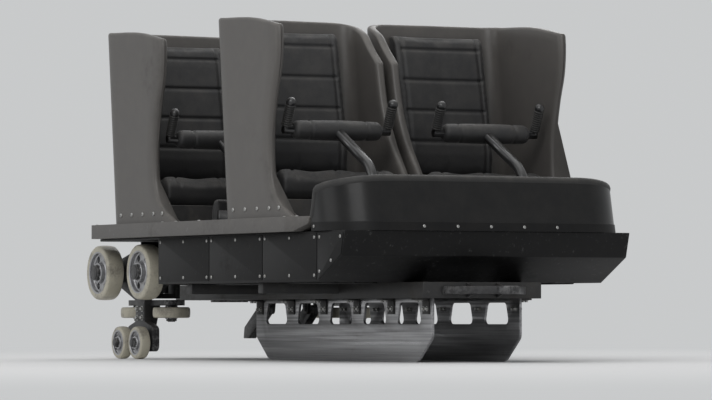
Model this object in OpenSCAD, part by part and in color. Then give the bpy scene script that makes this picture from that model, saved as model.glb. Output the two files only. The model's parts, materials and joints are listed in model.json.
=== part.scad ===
// Four-seat roller coaster car: one axle with steered wheel carriers, drawbar in front.
// X runs forward, Y to the left, Z up. Z = 0 is the lowest point of the up-stop wheels.

/* [Train and axle] */
// Distance between the coupling pins of one car
coupling_pitch = 2350; // [2250:10:2500]
// Distance of the axle ahead of the rear coupling pin
axle_setback = 265; // [255:5:290]
// Radius of the coupling pins
coupling_pin_r = 15; // [12:1:20]
// Radius of the rounded coupling ends
coupling_end_r = 45; // [40:1:45]
// Thickness of the drawbar eye
eye_t = 30; // [24:1:34]

/* [Wheels] */
// Distance between the centre planes of the road wheels
gauge = 1120; // [1110:1:1130]
// Diameter of the road wheels
road_d = 220; // [200:2:228]
// Width of the road wheels
road_w = 75; // [60:1:80]
// Distance between the two road wheels of one carrier
road_base = 380; // [340:5:390]
// Diameter of the guide wheels
guide_d = 150; // [130:2:154]
// Width of the guide wheels
guide_w = 46; // [36:1:48]
// Distance between the two guide wheels of one carrier
guide_base = 300; // [250:5:320]
// Diameter of the up-stop wheels
up_d = 130; // [120:2:136]
// Width of the up-stop wheels
up_w = 45; // [36:1:50]
// Distance between the two up-stop wheels of one carrier
up_base = 160; // [145:5:180]
// Depth of the rail between the road wheels and the up-stop wheels
rail_depth = 100; // [96:1:110]
// Radial clearance of every wheel, pin and bar on its shaft
fit = 0.05; // [0.02:0.01:0.1]

/* [Body] */
// Width over the side sills
body_w = 1300; // [1280:5:1340]
// Height of the foot floor above the rail
floor_h = 70; // [66:1:90]
// Height of the sill tops above the rail
sill_h = 300; // [290:5:330]
// Thickness of the sills
sill_t = 55; // [45:1:60]
// Thickness of the tub's plates
plate_t = 10; // [6:1:12]
// Thickness of the tub's side walls
tub_wall = 40; // [30:1:45]
// Height of the front cowl above the sill line
cowl_h = 145; // [100:5:200]

/* [Seats] */
// Distance between the two rows
row_pitch = 1000; // [980:5:1040]
// Width of one seat shell
shell_w = 610; // [590:5:615]
// Height of the seat shells above the sill
shell_h = 770; // [700:5:820]
// Wall thickness of the seat shells
shell_wall = 35; // [25:1:40]
// Gap between the two shells of a row
shell_gap = 30; // [20:1:40]
// Height of the cushion surface above the sill
seat_h = 170; // [160:5:190]

/* [Restraints] */
// Distance of the lap bar's pivot ahead of the seat shell
pivot_ahead = 760; // [740:5:770]
// Length of the upright of a lap bar
bar_up = 265; // [240:5:280]
// Bend radius of a lap bar
bar_bend = 140; // [120:5:150]
// Length of the sloping end of a lap bar
bar_reach = 260; // [240:5:280]
// Radius of the lap bar tube
bar_r = 20; // [16:1:24]
// Length of the thigh pad
thigh_pad_l = 380; // [320:10:420]

/* [Underframe] */
// Height of the two frame tubes
tube_h = 60; // [50:1:64]
// Width of the two frame tubes
tube_w = 80; // [60:2:90]
// Distance between the centres of the two frame tubes
tube_span = 420; // [400:5:440]
// Thickness of the brake fins
fin_t = 10; // [8:1:14]

/* [Hidden] */
$fn = 48;

// Levels, from the floor up
running_gap = 5;
rail_z = up_d + running_gap + rail_depth;
up_z = up_d / 2;
road_z = rail_z + road_d / 2;
guide_z = rail_z - rail_depth / 2;
floor_z = rail_z + floor_h;
frame_z = floor_z - plate_t;
sill_z = rail_z + sill_h;
deck_z = sill_z - sill_t;
seat_z = sill_z + seat_h;

// Places along the car
front_pin_x = coupling_pitch / 2;
rear_pin_x = -coupling_pitch / 2;
axle_x = rear_pin_x + axle_setback;
shell_behind_axle = 100;
rear_row_x = axle_x - shell_behind_axle;
front_row_x = rear_row_x + row_pitch;
sill_behind_row = 55;
sill_ahead_of_row = 805;
heel_ahead_of_row = 490;
toe_ahead_of_row = 850;
toe_board_l = 180;
toe_rise = 93;
sill_rear_x = rear_row_x - sill_behind_row;
sill_front_x = front_row_x + sill_ahead_of_row;
heel_x = rear_row_x + heel_ahead_of_row;
toe_x = front_row_x + toe_ahead_of_row;
nose_x = toe_x + toe_board_l;
front_x = nose_x + 25;
frame_rear_x = rear_pin_x + 85;
frame_front_x = nose_x - 30;

// Places across the car
half_w = body_w / 2;
sill_in_y = half_w - 95;
tub_half = half_w - 50;
shell_out_y = shell_gap / 2 + shell_w;
seat_y = shell_gap / 2 + shell_w / 2;
tube_in = tube_span / 2 - tube_w / 2;
tube_out = tube_span / 2 + tube_w / 2;

// Cross tubes and outriggers of the frame
cross_w = 60;
outrigger_w = 40;
heel_cross_ahead = 620;
row_cross_ahead = 350;
heel_outrigger_ahead = 690;
row_outrigger_ahead = 300;
cross_x = [
    frame_rear_x,
    axle_x + 2 * cross_w,
    rear_row_x + heel_cross_ahead,
    front_row_x + row_cross_ahead,
    frame_front_x - cross_w
];
outrigger_x = [rear_row_x + heel_outrigger_ahead, front_row_x + row_outrigger_ahead];

// Wheel carrier
road_y = gauge / 2;
plate_out = road_y - 65;
carrier_t = 30;
plate_in = plate_out - carrier_t;
guide_y = plate_out + 10 - 3 - guide_d / 2;
up_y = plate_out + 40;
king_y = plate_in - 50;
king_r = 20;
knuckle_r = 42;
ear_t = 20;
shelf_t = 22;
shelf_z = guide_z + guide_w / 2 + 5;
ear_z = shelf_z + shelf_t + 6;
knuckle_z = ear_z + ear_t + 1;
knuckle_h = 128;
beam_h = 90;
beam_half = 50;
yoke_y = king_y - knuckle_r - 32;
yoke_t = 22;
axle_r = 25;
small_axle_r = 15;
side_gap = 1;

// Lap bars
pin_r = 15;
hub_r = 30;
hub_half = 30;
lug_t = 15;
pivot_z = floor_z + 50;
bend_turn = 62;

// Seats: places ahead of the row, and gaps
cushion_t = 100;
base_top_t = 30;
base_rear = 60;
base_front = 520;
plinth_rear = 125;
plinth_front = 515;
plinth_gap = 5;
cushion_rear = 140;
cushion_front = 512;
cushion_gap = 12;
rest_gap = 0.5;
rest_low = seat_h + 5;
rest_mid = seat_h + 160;
rest_high = shell_h - 40;

function unit(v) = v / norm(v);

// Points of an arc that rounds corner b between a and c
function corner(a, b, c, r, n) =
    let (
        u = unit(a - b),
        v = unit(c - b),
        half = acos(u * v) / 2,
        o = b + unit(u + v) * (r / sin(half)),
        p = b + u * (r / tan(half)) - o,
        q = b + v * (r / tan(half)) - o,
        a0 = atan2(p.y, p.x),
        d = atan2(q.y, q.x) - a0,
        turn = d > 180 ? d - 360 : d < -180 ? d + 360 : d
    )
    [for (i = [0:n]) o + r * [cos(a0 + turn * i / n), sin(a0 + turn * i / n)]];

// Outline from points [x, y, radius], each corner rounded by its own radius
function rounded(pts, n = 4) = [
    for (i = [0:len(pts) - 1])
        let (
            a = pts[(i + len(pts) - 1) % len(pts)],
            b = pts[i],
            c = pts[(i + 1) % len(pts)]
        )
        each b[2] > 0
            ? corner([a.x, a.y], [b.x, b.y], [c.x, c.y], b[2], n)
            : [[b.x, b.y]]
];

// Points [x, y, radius] for x > 0, followed by their mirror images in reverse order
function with_mirror(pts) = concat(pts, [for (i = [len(pts) - 1:-1:0]) [-pts[i][0], pts[i][1], pts[i][2]]]);

// A block between two opposite corners
module block(lo, hi) {
    translate(lo) cube(hi - lo);
}

// An outline in X and Z, given thickness from y0 to y1
module side_plate(y0, y1, outline) {
    translate([0, y1, 0]) rotate([90, 0, 0]) linear_extrude(y1 - y0) polygon(outline);
}

// An outline in X and Y, given thickness from z0 to z1
module flat_plate(z0, z1, outline) {
    translate([0, 0, z0]) linear_extrude(z1 - z0) polygon(outline);
}

// An outline in Y and Z, given thickness from x0 to x1
module cross_plate(x0, x1, outline) {
    translate([x0, 0, 0]) rotate([90, 0, 90]) linear_extrude(x1 - x0) polygon(outline);
}

// A round bar along Y from y0 to y1
module cross_bar(x, z, r, y0, y1) {
    translate([x, y1, z]) rotate([90, 0, 0]) cylinder(h = y1 - y0, r = r);
}

// A round bar along Z from z0 to z1
module upright_bar(x, y, r, z0, z1) {
    translate([x, y, z0]) cylinder(h = z1 - z0, r = r);
}

module both_sides() {
    children();
    mirror([0, 1, 0]) children();
}

// A wall that runs round three sides of a U, open towards +X, from z = 0 up.
// back, outer and inner are tables [z, length]; tops is a table [station, height].
CORNER_STEPS = 5;
STATIONS = 2 * CORNER_STEPS + 9;
LEVELS = [0, 0.035, 0.09, 0.18, 0.3, 0.45, 0.6, 0.73, 0.86, 0.97, 1];
RIM = 9;

function u_outline(width, r, back, outer, inner, z, inset) =
    let (
        b = lookup(z, back),
        tip_out = lookup(z, outer),
        tip_in = lookup(z, inner),
        k = r - inset
    )
    [
        for (s = [1, 0.6, 0.25]) [b + r + (tip_out - r) * s, inset],
        for (i = [0:CORNER_STEPS])
            [b + r + k * cos(270 - 90 * i / CORNER_STEPS), r + k * sin(270 - 90 * i / CORNER_STEPS)],
        [b + inset, width / 2],
        for (i = [0:CORNER_STEPS])
            [b + r + k * cos(180 - 90 * i / CORNER_STEPS), width - r + k * sin(180 - 90 * i / CORNER_STEPS)],
        for (s = [0.25, 0.6, 1]) [b + r + (tip_in - r) * s, width - inset]
    ];

module u_wall(width, r, wall, back, outer, inner, tops) {
    m = len(LEVELS);
    count = STATIONS;
    points = [
        for (side = [0, 1], level = LEVELS, i = [0:count - 1])
            let (
                z = level * lookup(i, tops),
                rim = level == 1 ? RIM : 0,
                p = u_outline(width, r, back, outer, inner, z, side == 0 ? rim : wall - rim)[i]
            )
            [p.x, p.y, z]
    ];
    function out(i, j) = j * count + i;
    function in(i, j) = (m + j) * count + i;
    quads = [
        for (j = [0:m - 2], i = [0:count - 2]) [out(i, j), out(i + 1, j), out(i + 1, j + 1), out(i, j + 1)],
        for (j = [0:m - 2], i = [0:count - 2]) [in(i, j), in(i, j + 1), in(i + 1, j + 1), in(i + 1, j)],
        for (i = [0:count - 2]) [out(i + 1, 0), out(i, 0), in(i, 0), in(i + 1, 0)],
        for (i = [0:count - 2]) [out(i, m - 1), out(i + 1, m - 1), in(i + 1, m - 1), in(i, m - 1)],
        for (j = [0:m - 2]) [out(0, j), out(0, j + 1), in(0, j + 1), in(0, j)],
        for (j = [0:m - 2]) [out(count - 1, j + 1), out(count - 1, j), in(count - 1, j), in(count - 1, j + 1)]
    ];
    polyhedron(points, [for (q = quads) each [[q[0], q[1], q[2]], [q[0], q[2], q[3]]]]);
}

// Seat shell: tables for the lean of the back and the depth of the two wings
SHELL_LEAN = 80;
function shell_back(z) = SHELL_LEAN * (1 - z / shell_h);
SHELL_OUTER = [
    [0, 610], [0.035, 545], [0.09, 478], [0.18, 445], [0.3, 440], [0.45, 455],
    [0.6, 492], [0.73, 535], [0.86, 555], [0.95, 552], [1, 530]
];
SHELL_INNER = [[0, 480], [0.2, 420], [0.4, 320], [0.6, 270], [1, 240]];
SHELL_TOPS = [
    [0, 0.93], [1, 0.975], [2, 0.99], [5, 1], [9, 1], [13, 0.985], [16, 0.94], [17, 0.86], [18, 0.78]
];
SHELL_CORNER = 95;

// The right-hand shell of the rear row stands at row = rear_row_x; its outer wing is at -Y
module seat_shell(row) {
    color("#7b7876")
    translate([row, -shell_out_y, sill_z])
        u_wall(
            shell_w, SHELL_CORNER, shell_wall,
            [[0, SHELL_LEAN], [shell_h, 0]],
            [for (p = SHELL_OUTER) [p[0] * shell_h, p[1]]],
            [for (p = SHELL_INNER) [p[0] * shell_h, p[1]]],
            [for (p = SHELL_TOPS) [p[0], p[1] * shell_h]]
        );
}

module seat_base_plate(row) {
    near = shell_gap / 2 + shell_wall + plinth_gap;
    far = shell_out_y - shell_wall - plinth_gap;
    rear_r = SHELL_CORNER - shell_wall;
    front_r = 40;
    block([row + base_rear, -sill_in_y, sill_z - base_top_t], [row + base_front, sill_in_y, sill_z]);
    both_sides()
        flat_plate(sill_z, seat_z - cushion_t, rounded([
            [row + plinth_rear, near, rear_r], [row + plinth_front, near, front_r],
            [row + plinth_front, far, front_r], [row + plinth_rear, far, rear_r]
        ]));
}

// Low plinth over the wheels
module seat_base_rear() {
    color("#141414") {
        seat_base_plate(rear_row_x);
        block(
            [rear_row_x + base_rear, -sill_in_y, deck_z],
            [rear_row_x + base_front - 20, sill_in_y, sill_z - base_top_t]
        );
    }
}

// Open stand that leaves room for the feet of the row behind
module seat_base_front() {
    side_t = 40;
    middle_t = 60;
    rear_x = front_row_x + base_rear;
    front_x = front_row_x + base_front - 40;
    top = sill_z - base_top_t;
    color("#141414") {
        seat_base_plate(front_row_x);
        both_sides()
            side_plate(sill_in_y - side_t, sill_in_y, [
                [rear_x + 50, floor_z], [rear_x, top], [front_x, top], [front_x - 50, floor_z]
            ]);
        side_plate(-middle_t / 2, middle_t / 2, [
            [rear_x + 100, floor_z], [rear_x + 40, top], [front_x - 20, top], [front_x - 80, floor_z]
        ]);
    }
}

// Base cushion and back cushion of the right-hand seat
module seat_pad(row) {
    far = shell_out_y - shell_wall - cushion_gap;
    near = shell_gap / 2 + shell_wall + cushion_gap;
    half = shell_w / 2 - SHELL_CORNER;
    behind = row + shell_wall + rest_gap;
    color("#1d1d1f") {
        side_plate(-far, -near, rounded([
            [row + cushion_rear, seat_z - cushion_t, 10],
            [row + cushion_front, seat_z - cushion_t, 12],
            [row + cushion_front + 10, seat_z + 18, 38],
            [row + cushion_front - 92, seat_z + 8, 60],
            [row + cushion_rear, seat_z - 8, 12]
        ]));
        side_plate(-seat_y - half, -seat_y + half, rounded([
            [behind + shell_back(rest_low), sill_z + rest_low, 12],
            [row + shell_back(rest_low) + 130, sill_z + rest_low, 30],
            [row + shell_back(rest_mid) + 138, sill_z + rest_mid, 120],
            [row + shell_back(rest_high) + 95, sill_z + rest_high, 30],
            [behind + shell_back(rest_high), sill_z + rest_high, 12]
        ]));
    }
}

// Lugs and pins of both lap bars of a row
module bar_pedestal(row) {
    x = row + pivot_ahead;
    foot_t = 8;
    foot = [70, 75];
    lug_half = 55;
    color("#202022")
    both_sides() {
        block([x - foot.x, seat_y - foot.y, floor_z], [x + foot.x, seat_y + foot.y, floor_z + foot_t]);
        for (y = [seat_y - hub_half - side_gap - lug_t, seat_y + hub_half + side_gap])
            side_plate(y, y + lug_t, rounded([
                [x - lug_half, floor_z + foot_t, 0], [x + lug_half, floor_z + foot_t, 0],
                [x + hub_r, pivot_z + hub_r, 24], [x - hub_r, pivot_z + hub_r, 24]
            ]));
        cross_bar(x, pivot_z, pin_r, seat_y - hub_half - lug_t - 8, seat_y + hub_half + lug_t + 8);
    }
}

// Centre line of the lap bar, seen from the side, from the pivot
bar_bend_end = [
    -bar_bend + bar_bend * cos(bend_turn),
    bar_up + bar_bend * sin(bend_turn)
];
bar_end = bar_bend_end + bar_reach * [-sin(bend_turn), cos(bend_turn)];
thigh_pad_r = 42;
cross_rod_r = bar_r * 0.8;
grip_l = 110;
grip_tilt = 25;
shin_bar_z = bar_up - 70;
shin_bar_h = 60;
shin_bar_half_t = 14;
shin_pad_half = 155;
shin_pad_gap = 15;

module lap_bar(row) {
    color("#2b2b2d")
    translate([row + pivot_ahead, -seat_y, pivot_z]) {
        difference() {
            union() {
                cross_bar(0, 0, hub_r, -hub_half, hub_half);
                upright_bar(0, 0, bar_r, 0, bar_up);
            }
            cross_bar(0, 0, pin_r + fit, -hub_half - 1, hub_half + 1);
        }
        translate([-bar_bend, 0, bar_up]) rotate([90, 0, 0])
            rotate_extrude(angle = bend_turn) translate([bar_bend, 0]) circle(r = bar_r);
        translate([bar_bend_end.x, 0, bar_bend_end.y]) rotate([0, -bend_turn, 0])
            cylinder(h = bar_reach, r = bar_r);
        cross_bar(bar_end.x, bar_end.y, cross_rod_r, -thigh_pad_l / 2 - 35, thigh_pad_l / 2 + 35);
        for (s = [-1, 1])
            translate([bar_end.x, s * (thigh_pad_l / 2 + 25), bar_end.y]) rotate([0, grip_tilt, 0]) {
                cylinder(h = grip_l, r = bar_r * 0.75);
                translate([0, 0, grip_l]) sphere(r = bar_r * 0.95);
            }
        block(
            [-shin_bar_half_t, 5 - shin_pad_half, shin_bar_z - shin_bar_h / 2],
            [shin_bar_half_t, shin_pad_half - 5, shin_bar_z + shin_bar_h / 2]
        );
    }
}

// Thigh pad and the two shin pads
module lap_pad(row) {
    color("#19191b")
    translate([row + pivot_ahead, -seat_y, pivot_z]) {
        difference() {
            cross_bar(bar_end.x, bar_end.y, thigh_pad_r, -thigh_pad_l / 2, thigh_pad_l / 2);
            cross_bar(bar_end.x, bar_end.y, cross_rod_r, -thigh_pad_l, thigh_pad_l);
            translate([bar_bend_end.x, 0, bar_bend_end.y]) rotate([0, -bend_turn, 0])
                cylinder(h = bar_reach, r = bar_r);
        }
        both_sides()
            side_plate(bar_r + shin_pad_gap, shin_pad_half, rounded([
                [-shin_bar_half_t, bar_up - 170, 0], [-shin_bar_half_t, bar_up + 10, 0],
                [-50, bar_up - 5, 18], [-62, bar_up - 80, 40], [-50, bar_up - 155, 18]
            ]));
    }
}

// Side sill: a side outline crossed with a plan outline
module sill() {
    color("#7b7876")
    intersection() {
        side_plate(sill_in_y, half_w, rounded([
            [sill_rear_x, deck_z, 12], [sill_front_x - 90, deck_z, 40], [sill_front_x, deck_z + 30, 14],
            [sill_front_x - 10, sill_z, 14], [sill_rear_x, sill_z, 10]
        ]));
        flat_plate(deck_z - 1, sill_z + 1, rounded([
            [sill_rear_x, sill_in_y, 0], [sill_front_x, sill_in_y, 0], [sill_front_x, half_w - 35, 15],
            [sill_front_x - 130, half_w, 80], [sill_rear_x, half_w, 35]
        ]));
    }
}

// Black tub: rear deck, heel board, floor and toe board, with a side wall each side
deck_lip_h = 60;
deck_lip_half = plate_in - 45;
module tub() {
    color("#121212") {
        side_plate(-tub_half, tub_half, [
            [sill_rear_x, deck_z - plate_t], [heel_x, deck_z - plate_t], [heel_x, frame_z],
            [toe_x, frame_z], [nose_x, frame_z + toe_rise], [front_x, deck_z],
            [front_x - plate_t, deck_z], [nose_x - plate_t, floor_z + toe_rise - 2], [toe_x - 2, floor_z],
            [heel_x + plate_t, floor_z], [heel_x + plate_t, deck_z], [sill_rear_x, deck_z]
        ]);
        block(
            [sill_rear_x, -deck_lip_half, deck_z - plate_t - deck_lip_h],
            [sill_rear_x + plate_t, deck_lip_half, deck_z - plate_t]
        );
        both_sides()
            side_plate(tub_half - tub_wall, tub_half, [
                [heel_x, frame_z], [toe_x, frame_z], [nose_x, frame_z + toe_rise],
                [front_x, deck_z], [heel_x, deck_z]
            ]);
    }
}

// Curved wall round the front footwell
COWL_WALL = 30;
COWL_CORNER = 190;
COWL_LEAN = 45;
cowl_lap = 12;
cowl_gap = 6;
module front_cowl() {
    height = sill_t + cowl_h;
    length = front_x + cowl_lap - sill_front_x - cowl_gap;
    half = tub_half + cowl_lap;
    color("#1c1c1e")
    translate([front_x + cowl_lap, -half, deck_z]) mirror([1, 0, 0])
        u_wall(
            2 * half, COWL_CORNER, COWL_WALL,
            [[0, 0], [height, COWL_LEAN]],
            [[0, length], [height, length - COWL_LEAN]],
            [[0, length], [height, length - COWL_LEAN]],
            [[0, 0.3 * height], [1, 0.55 * height], [2, 0.75 * height], [6, 0.95 * height], [9, height],
             [12, 0.95 * height], [16, 0.75 * height], [17, 0.55 * height], [18, 0.3 * height]]
        );
}

// Two long tubes with cross tubes between them
module frame() {
    color("#161617") {
        both_sides()
            block([frame_rear_x, tube_in, frame_z - tube_h], [frame_front_x, tube_out, frame_z]);
        for (x = cross_x)
            block([x, -tube_in - 1, frame_z - tube_h], [x + cross_w, tube_in + 1, frame_z]);
        both_sides()
            for (x = outrigger_x)
                block([x, tube_out - 1, frame_z - outrigger_w], [x + outrigger_w, tub_half - 30, frame_z]);
    }
}

// Box beam across the frame, with a yoke and a kingpin at each end
module axle_beam() {
    top = ear_z + 2 * ear_t + knuckle_h + 2;
    gusset_t = 10;
    gusset_l = 70;
    beam_top = frame_z + beam_h;
    color("#1d1d1f") {
        block([axle_x - beam_half, -yoke_y - 1, frame_z], [axle_x + beam_half, yoke_y + 1, beam_top]);
        both_sides() {
            block([axle_x - beam_half, yoke_y, ear_z], [axle_x + beam_half, yoke_y + yoke_t, top]);
            for (z = [ear_z, top - ear_t])
                translate([axle_x, 0, z]) {
                    translate([0, king_y, 0]) cylinder(h = ear_t, r = knuckle_r);
                    translate([-knuckle_r, yoke_y + 1, 0]) cube([2 * knuckle_r, king_y - yoke_y - 1, ear_t]);
                }
            upright_bar(axle_x, king_y, king_r, ear_z, top);
            for (x = [axle_x - beam_half + 5, axle_x + beam_half - 5 - gusset_t])
                cross_plate(x, x + gusset_t, [
                    [yoke_y - gusset_l, beam_top - 1], [yoke_y + 1, top - 8], [yoke_y + 1, beam_top - 1]
                ]);
        }
    }
}

// Steered carrier of the right-hand side, seen from above its kingpin
module carrier_body() {
    top_half = 60;
    neck_half = 40;
    road_half = road_base / 2 + 45;
    up_half = up_base / 2 + 38;
    guide_half = guide_base / 2 + 45;
    rib_half_t = 11;
    knuckle_top = knuckle_z + knuckle_h;
    half_outline = [
        [top_half, road_z + 85, 25], [road_half, road_z + 42, 38], [road_half, road_z - 40, 30],
        [neck_half, shelf_z + 20, 18], [neck_half, up_z + 85, 12],
        [up_half, up_z + 62, 22], [up_half, up_z - 35, 26]
    ];
    half_shelf = [
        [top_half, -plate_in - 1, 10], [guide_half, -guide_y - 38, 30], [guide_half, -guide_y + 48, 30]
    ];
    translate([axle_x, 0, 0])
    difference() {
        union() {
            side_plate(-plate_out, -plate_in, rounded(with_mirror(half_outline)));
            flat_plate(shelf_z, shelf_z + shelf_t, rounded(with_mirror(half_shelf)));
            cross_plate(-rib_half_t, rib_half_t, [
                [-plate_in - 1, up_z - 30], [-plate_in + 18, up_z - 30], [-plate_in + 55, shelf_z + 1],
                [-plate_in - 1, shelf_z + 1]
            ]);
            upright_bar(0, -king_y, knuckle_r, knuckle_z, knuckle_top);
            block([-34, -plate_in - 1, knuckle_z + 6], [34, -king_y, knuckle_top - 6]);
        }
        upright_bar(0, -king_y, king_r + fit, knuckle_z - 1, knuckle_top + 1);
        for (s = [-1, 1])
            cross_bar(s * (road_base / 4 + 8), road_z - 5, road_base / 11, -plate_out - 1, -plate_in + 1);
    }
}

// A fixed axle along Y with its collar and retaining nut, on the outside of the carrier plate
nut_t = 10;
module stub_axle(x, y, z, r, w) {
    cross_bar(x, z, r, -y - w / 2 - 14, -plate_out + 1);
    cross_bar(x, z, r * 1.45, -y + w / 2 + side_gap, -plate_out + 1);
    translate([x, -y - w / 2 - side_gap, z]) rotate([90, 0, 0]) cylinder(h = nut_t, r = r * 1.4, $fn = 6);
}

module carrier() {
    color("#2a2a2c") {
        carrier_body();
        for (s = [-1, 1]) {
            stub_axle(axle_x + s * road_base / 2, road_y, road_z, axle_r, road_w);
            stub_axle(axle_x + s * up_base / 2, up_y, up_z, small_axle_r, up_w);
            translate([axle_x + s * guide_base / 2, -guide_y, 0]) {
                upright_bar(0, 0, small_axle_r, guide_z - guide_w / 2 - 14, shelf_z + 1);
                upright_bar(0, 0, small_axle_r * 1.6, guide_z + guide_w / 2 + side_gap, shelf_z + 1);
                translate([0, 0, guide_z - guide_w / 2 - side_gap - nut_t])
                    cylinder(h = nut_t, r = small_axle_r * 1.4, $fn = 6);
            }
        }
    }
}

// A wheel about Z: crowned tread, rim, dished web with round holes, and hub with its bore
module wheel(d, w, bore_r, hub_r, holes) {
    r = d / 2;
    h = w / 2;
    rim = r - r * 0.24;
    web = h * 0.42;
    mid = (hub_r + rim) / 2;
    difference() {
        rotate_extrude($fn = 64) polygon([
            [bore_r, -h], [hub_r, -h], [hub_r + 3, -web], [rim - 4, -web], [rim, -h * 0.92],
            [r - 7, -h * 0.92], [r - 1.5, -h * 0.75], [r, -h * 0.35], [r, h * 0.35], [r - 1.5, h * 0.75],
            [r - 7, h * 0.92], [rim, h * 0.92], [rim - 4, web], [hub_r + 3, web], [hub_r, h], [bore_r, h]
        ]);
        for (i = [0:holes - 1])
            rotate(360 * i / holes) translate([mid, 0, -h]) cylinder(h = 2 * h, r = (rim - hub_r) * 0.3);
    }
}

module road_wheel(s) {
    color("#b9b29c")
    translate([axle_x + s * road_base / 2, -road_y, road_z]) rotate([90, 0, 0])
        wheel(road_d, road_w, axle_r + fit, axle_r + 15, 6);
}

module guide_wheel(s) {
    color("#b9b29c")
    translate([axle_x + s * guide_base / 2, -guide_y, guide_z])
        wheel(guide_d, guide_w, small_axle_r + fit, small_axle_r + 12, 5);
}

module up_stop_wheel(s) {
    color("#b9b29c")
    translate([axle_x + s * up_base / 2, -up_y, up_z]) rotate([90, 0, 0])
        wheel(up_d, up_w, small_axle_r + fit, small_axle_r + 11, 5);
}

// Tapered drawbar with the front coupling eye
coupling_z = frame_z - tube_h / 2;
module drawbar() {
    shoulder_x = frame_front_x + 25;
    gusset_x = frame_front_x + 90;
    gusset_half = tube_h / 2 - 2;
    gusset_t = 12;
    color("#2a2a2c")
    difference() {
        union() {
            flat_plate(coupling_z - eye_t / 2, coupling_z + eye_t / 2, rounded([
                [frame_front_x, -tube_in, 0], [shoulder_x, -tube_in, 15], [front_pin_x, -coupling_end_r, 0],
                [front_pin_x, coupling_end_r, 0], [shoulder_x, tube_in, 15], [frame_front_x, tube_in, 0]
            ]));
            upright_bar(front_pin_x, 0, coupling_end_r, coupling_z - eye_t / 2, coupling_z + eye_t / 2);
            both_sides()
                side_plate(tube_in / 3, tube_in / 3 + gusset_t, [
                    [frame_front_x, coupling_z - gusset_half], [gusset_x, coupling_z],
                    [frame_front_x, coupling_z + gusset_half]
                ]);
        }
        upright_bar(front_pin_x, 0, coupling_pin_r, coupling_z - eye_t, coupling_z + eye_t);
    }
}

// Clevis for the next car's drawbar eye
clevis_gap = 2;
clevis_t = 20;
clevis_half = 80;
module rear_coupling() {
    inner = eye_t / 2 + clevis_gap;
    outer = inner + clevis_t;
    color("#2a2a2c")
    difference() {
        union() {
            for (z = [coupling_z - outer, coupling_z + inner]) {
                flat_plate(z, z + clevis_t, [
                    [rear_pin_x, -coupling_end_r], [frame_rear_x, -clevis_half],
                    [frame_rear_x, clevis_half], [rear_pin_x, coupling_end_r]
                ]);
                upright_bar(rear_pin_x, 0, coupling_end_r, z, z + clevis_t);
            }
            block(
                [frame_rear_x - clevis_t, -clevis_half, coupling_z - outer],
                [frame_rear_x, clevis_half, coupling_z + outer]
            );
        }
        upright_bar(rear_pin_x, 0, coupling_pin_r, coupling_z - outer - 1, coupling_z + outer + 1);
    }
}

// Two long fins that run between the brakes, with windows above the braked strip
fin_rear_x = heel_x + 40;
fin_front_x = frame_front_x - 40;
fin_in = tube_in + 10;
fin_bays = 5;
fin_post = 80;
fin_strip_z = 140;
fin_bevel = [110, 90];
window_slant = 22;
window_r = 18;
module brake_fins() {
    top = frame_z - tube_h;
    bay = (fin_front_x - fin_rear_x - fin_post) / fin_bays;
    window_l = bay - fin_post;
    window_top = top - 15;
    color("#8d8f92")
    both_sides()
        difference() {
            side_plate(fin_in, fin_in + fin_t, rounded([
                [fin_rear_x, top, 0], [fin_rear_x, fin_bevel.y, 30], [fin_rear_x + fin_bevel.x, 0, 60],
                [fin_front_x - fin_bevel.x, 0, 60], [fin_front_x, fin_bevel.y, 30], [fin_front_x, top, 0]
            ]));
            for (i = [0:fin_bays - 1])
                translate([fin_rear_x + fin_post + i * bay, 0, 0])
                    side_plate(fin_in - 1, fin_in + fin_t + 1, rounded([
                        [0, fin_strip_z, window_r], [window_l, fin_strip_z, window_r],
                        [window_l - window_slant, window_top, window_r], [window_slant, window_top, window_r]
                    ]));
        }
}

// Pawls that hang under the frame from their own brackets
dog_pin_r = 12;
dog_z = frame_z - tube_h - 34;
chain_dog_x = heel_x + 150;
rollback_dog_x = axle_x + 140;
dog_t = 34;
dog_lug_t = 12;

// Lugs and pin that carry a pawl, below the cross tube at x
module dog_bracket(x) {
    inner = dog_t / 2 + side_gap;
    color("#161617") {
        both_sides()
            side_plate(inner, inner + dog_lug_t, rounded([
                [x - 30, frame_z - tube_h, 0], [x - 20, dog_z - 22, 16], [x + 20, dog_z - 22, 16],
                [x + 30, frame_z - tube_h, 0]
            ]));
        cross_bar(x, dog_z, dog_pin_r, -dog_t / 2 - 18, dog_t / 2 + 18);
    }
}

// A pawl that trails backwards and down, ending depth below its pin
module dog(x, depth, length) {
    color("#3a3a3c")
    difference() {
        side_plate(-dog_t / 2, dog_t / 2, rounded([
            [x + 24, dog_z + 14, 12], [x + 22, dog_z - 22, 12], [x - length + 45, dog_z - depth, 8],
            [x - length, dog_z - depth, 5], [x - length + 8, dog_z - depth + 45, 10], [x - 30, dog_z + 14, 12]
        ]));
        cross_bar(x, dog_z, dog_pin_r + fit, -dog_t, dog_t);
    }
}

union() {
    frame();
    dog_bracket(chain_dog_x);
    dog_bracket(rollback_dog_x);
}
axle_beam();
tub();
sill();  // sill_left
mirror([0, 1, 0]) sill();  // sill_right
front_cowl();
seat_base_rear();
seat_base_front();
seat_shell(rear_row_x);  // seat_shell_rear_right
mirror([0, 1, 0]) seat_shell(rear_row_x);  // seat_shell_rear_left
seat_shell(front_row_x);  // seat_shell_front_right
mirror([0, 1, 0]) seat_shell(front_row_x);  // seat_shell_front_left
seat_pad(rear_row_x);  // seat_pad_rear_right
mirror([0, 1, 0]) seat_pad(rear_row_x);  // seat_pad_rear_left
seat_pad(front_row_x);  // seat_pad_front_right
mirror([0, 1, 0]) seat_pad(front_row_x);  // seat_pad_front_left
bar_pedestal(rear_row_x);  // bar_pedestal_rear
bar_pedestal(front_row_x);  // bar_pedestal_front
lap_bar(rear_row_x);  // lap_bar_rear_right
mirror([0, 1, 0]) lap_bar(rear_row_x);  // lap_bar_rear_left
lap_bar(front_row_x);  // lap_bar_front_right
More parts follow.
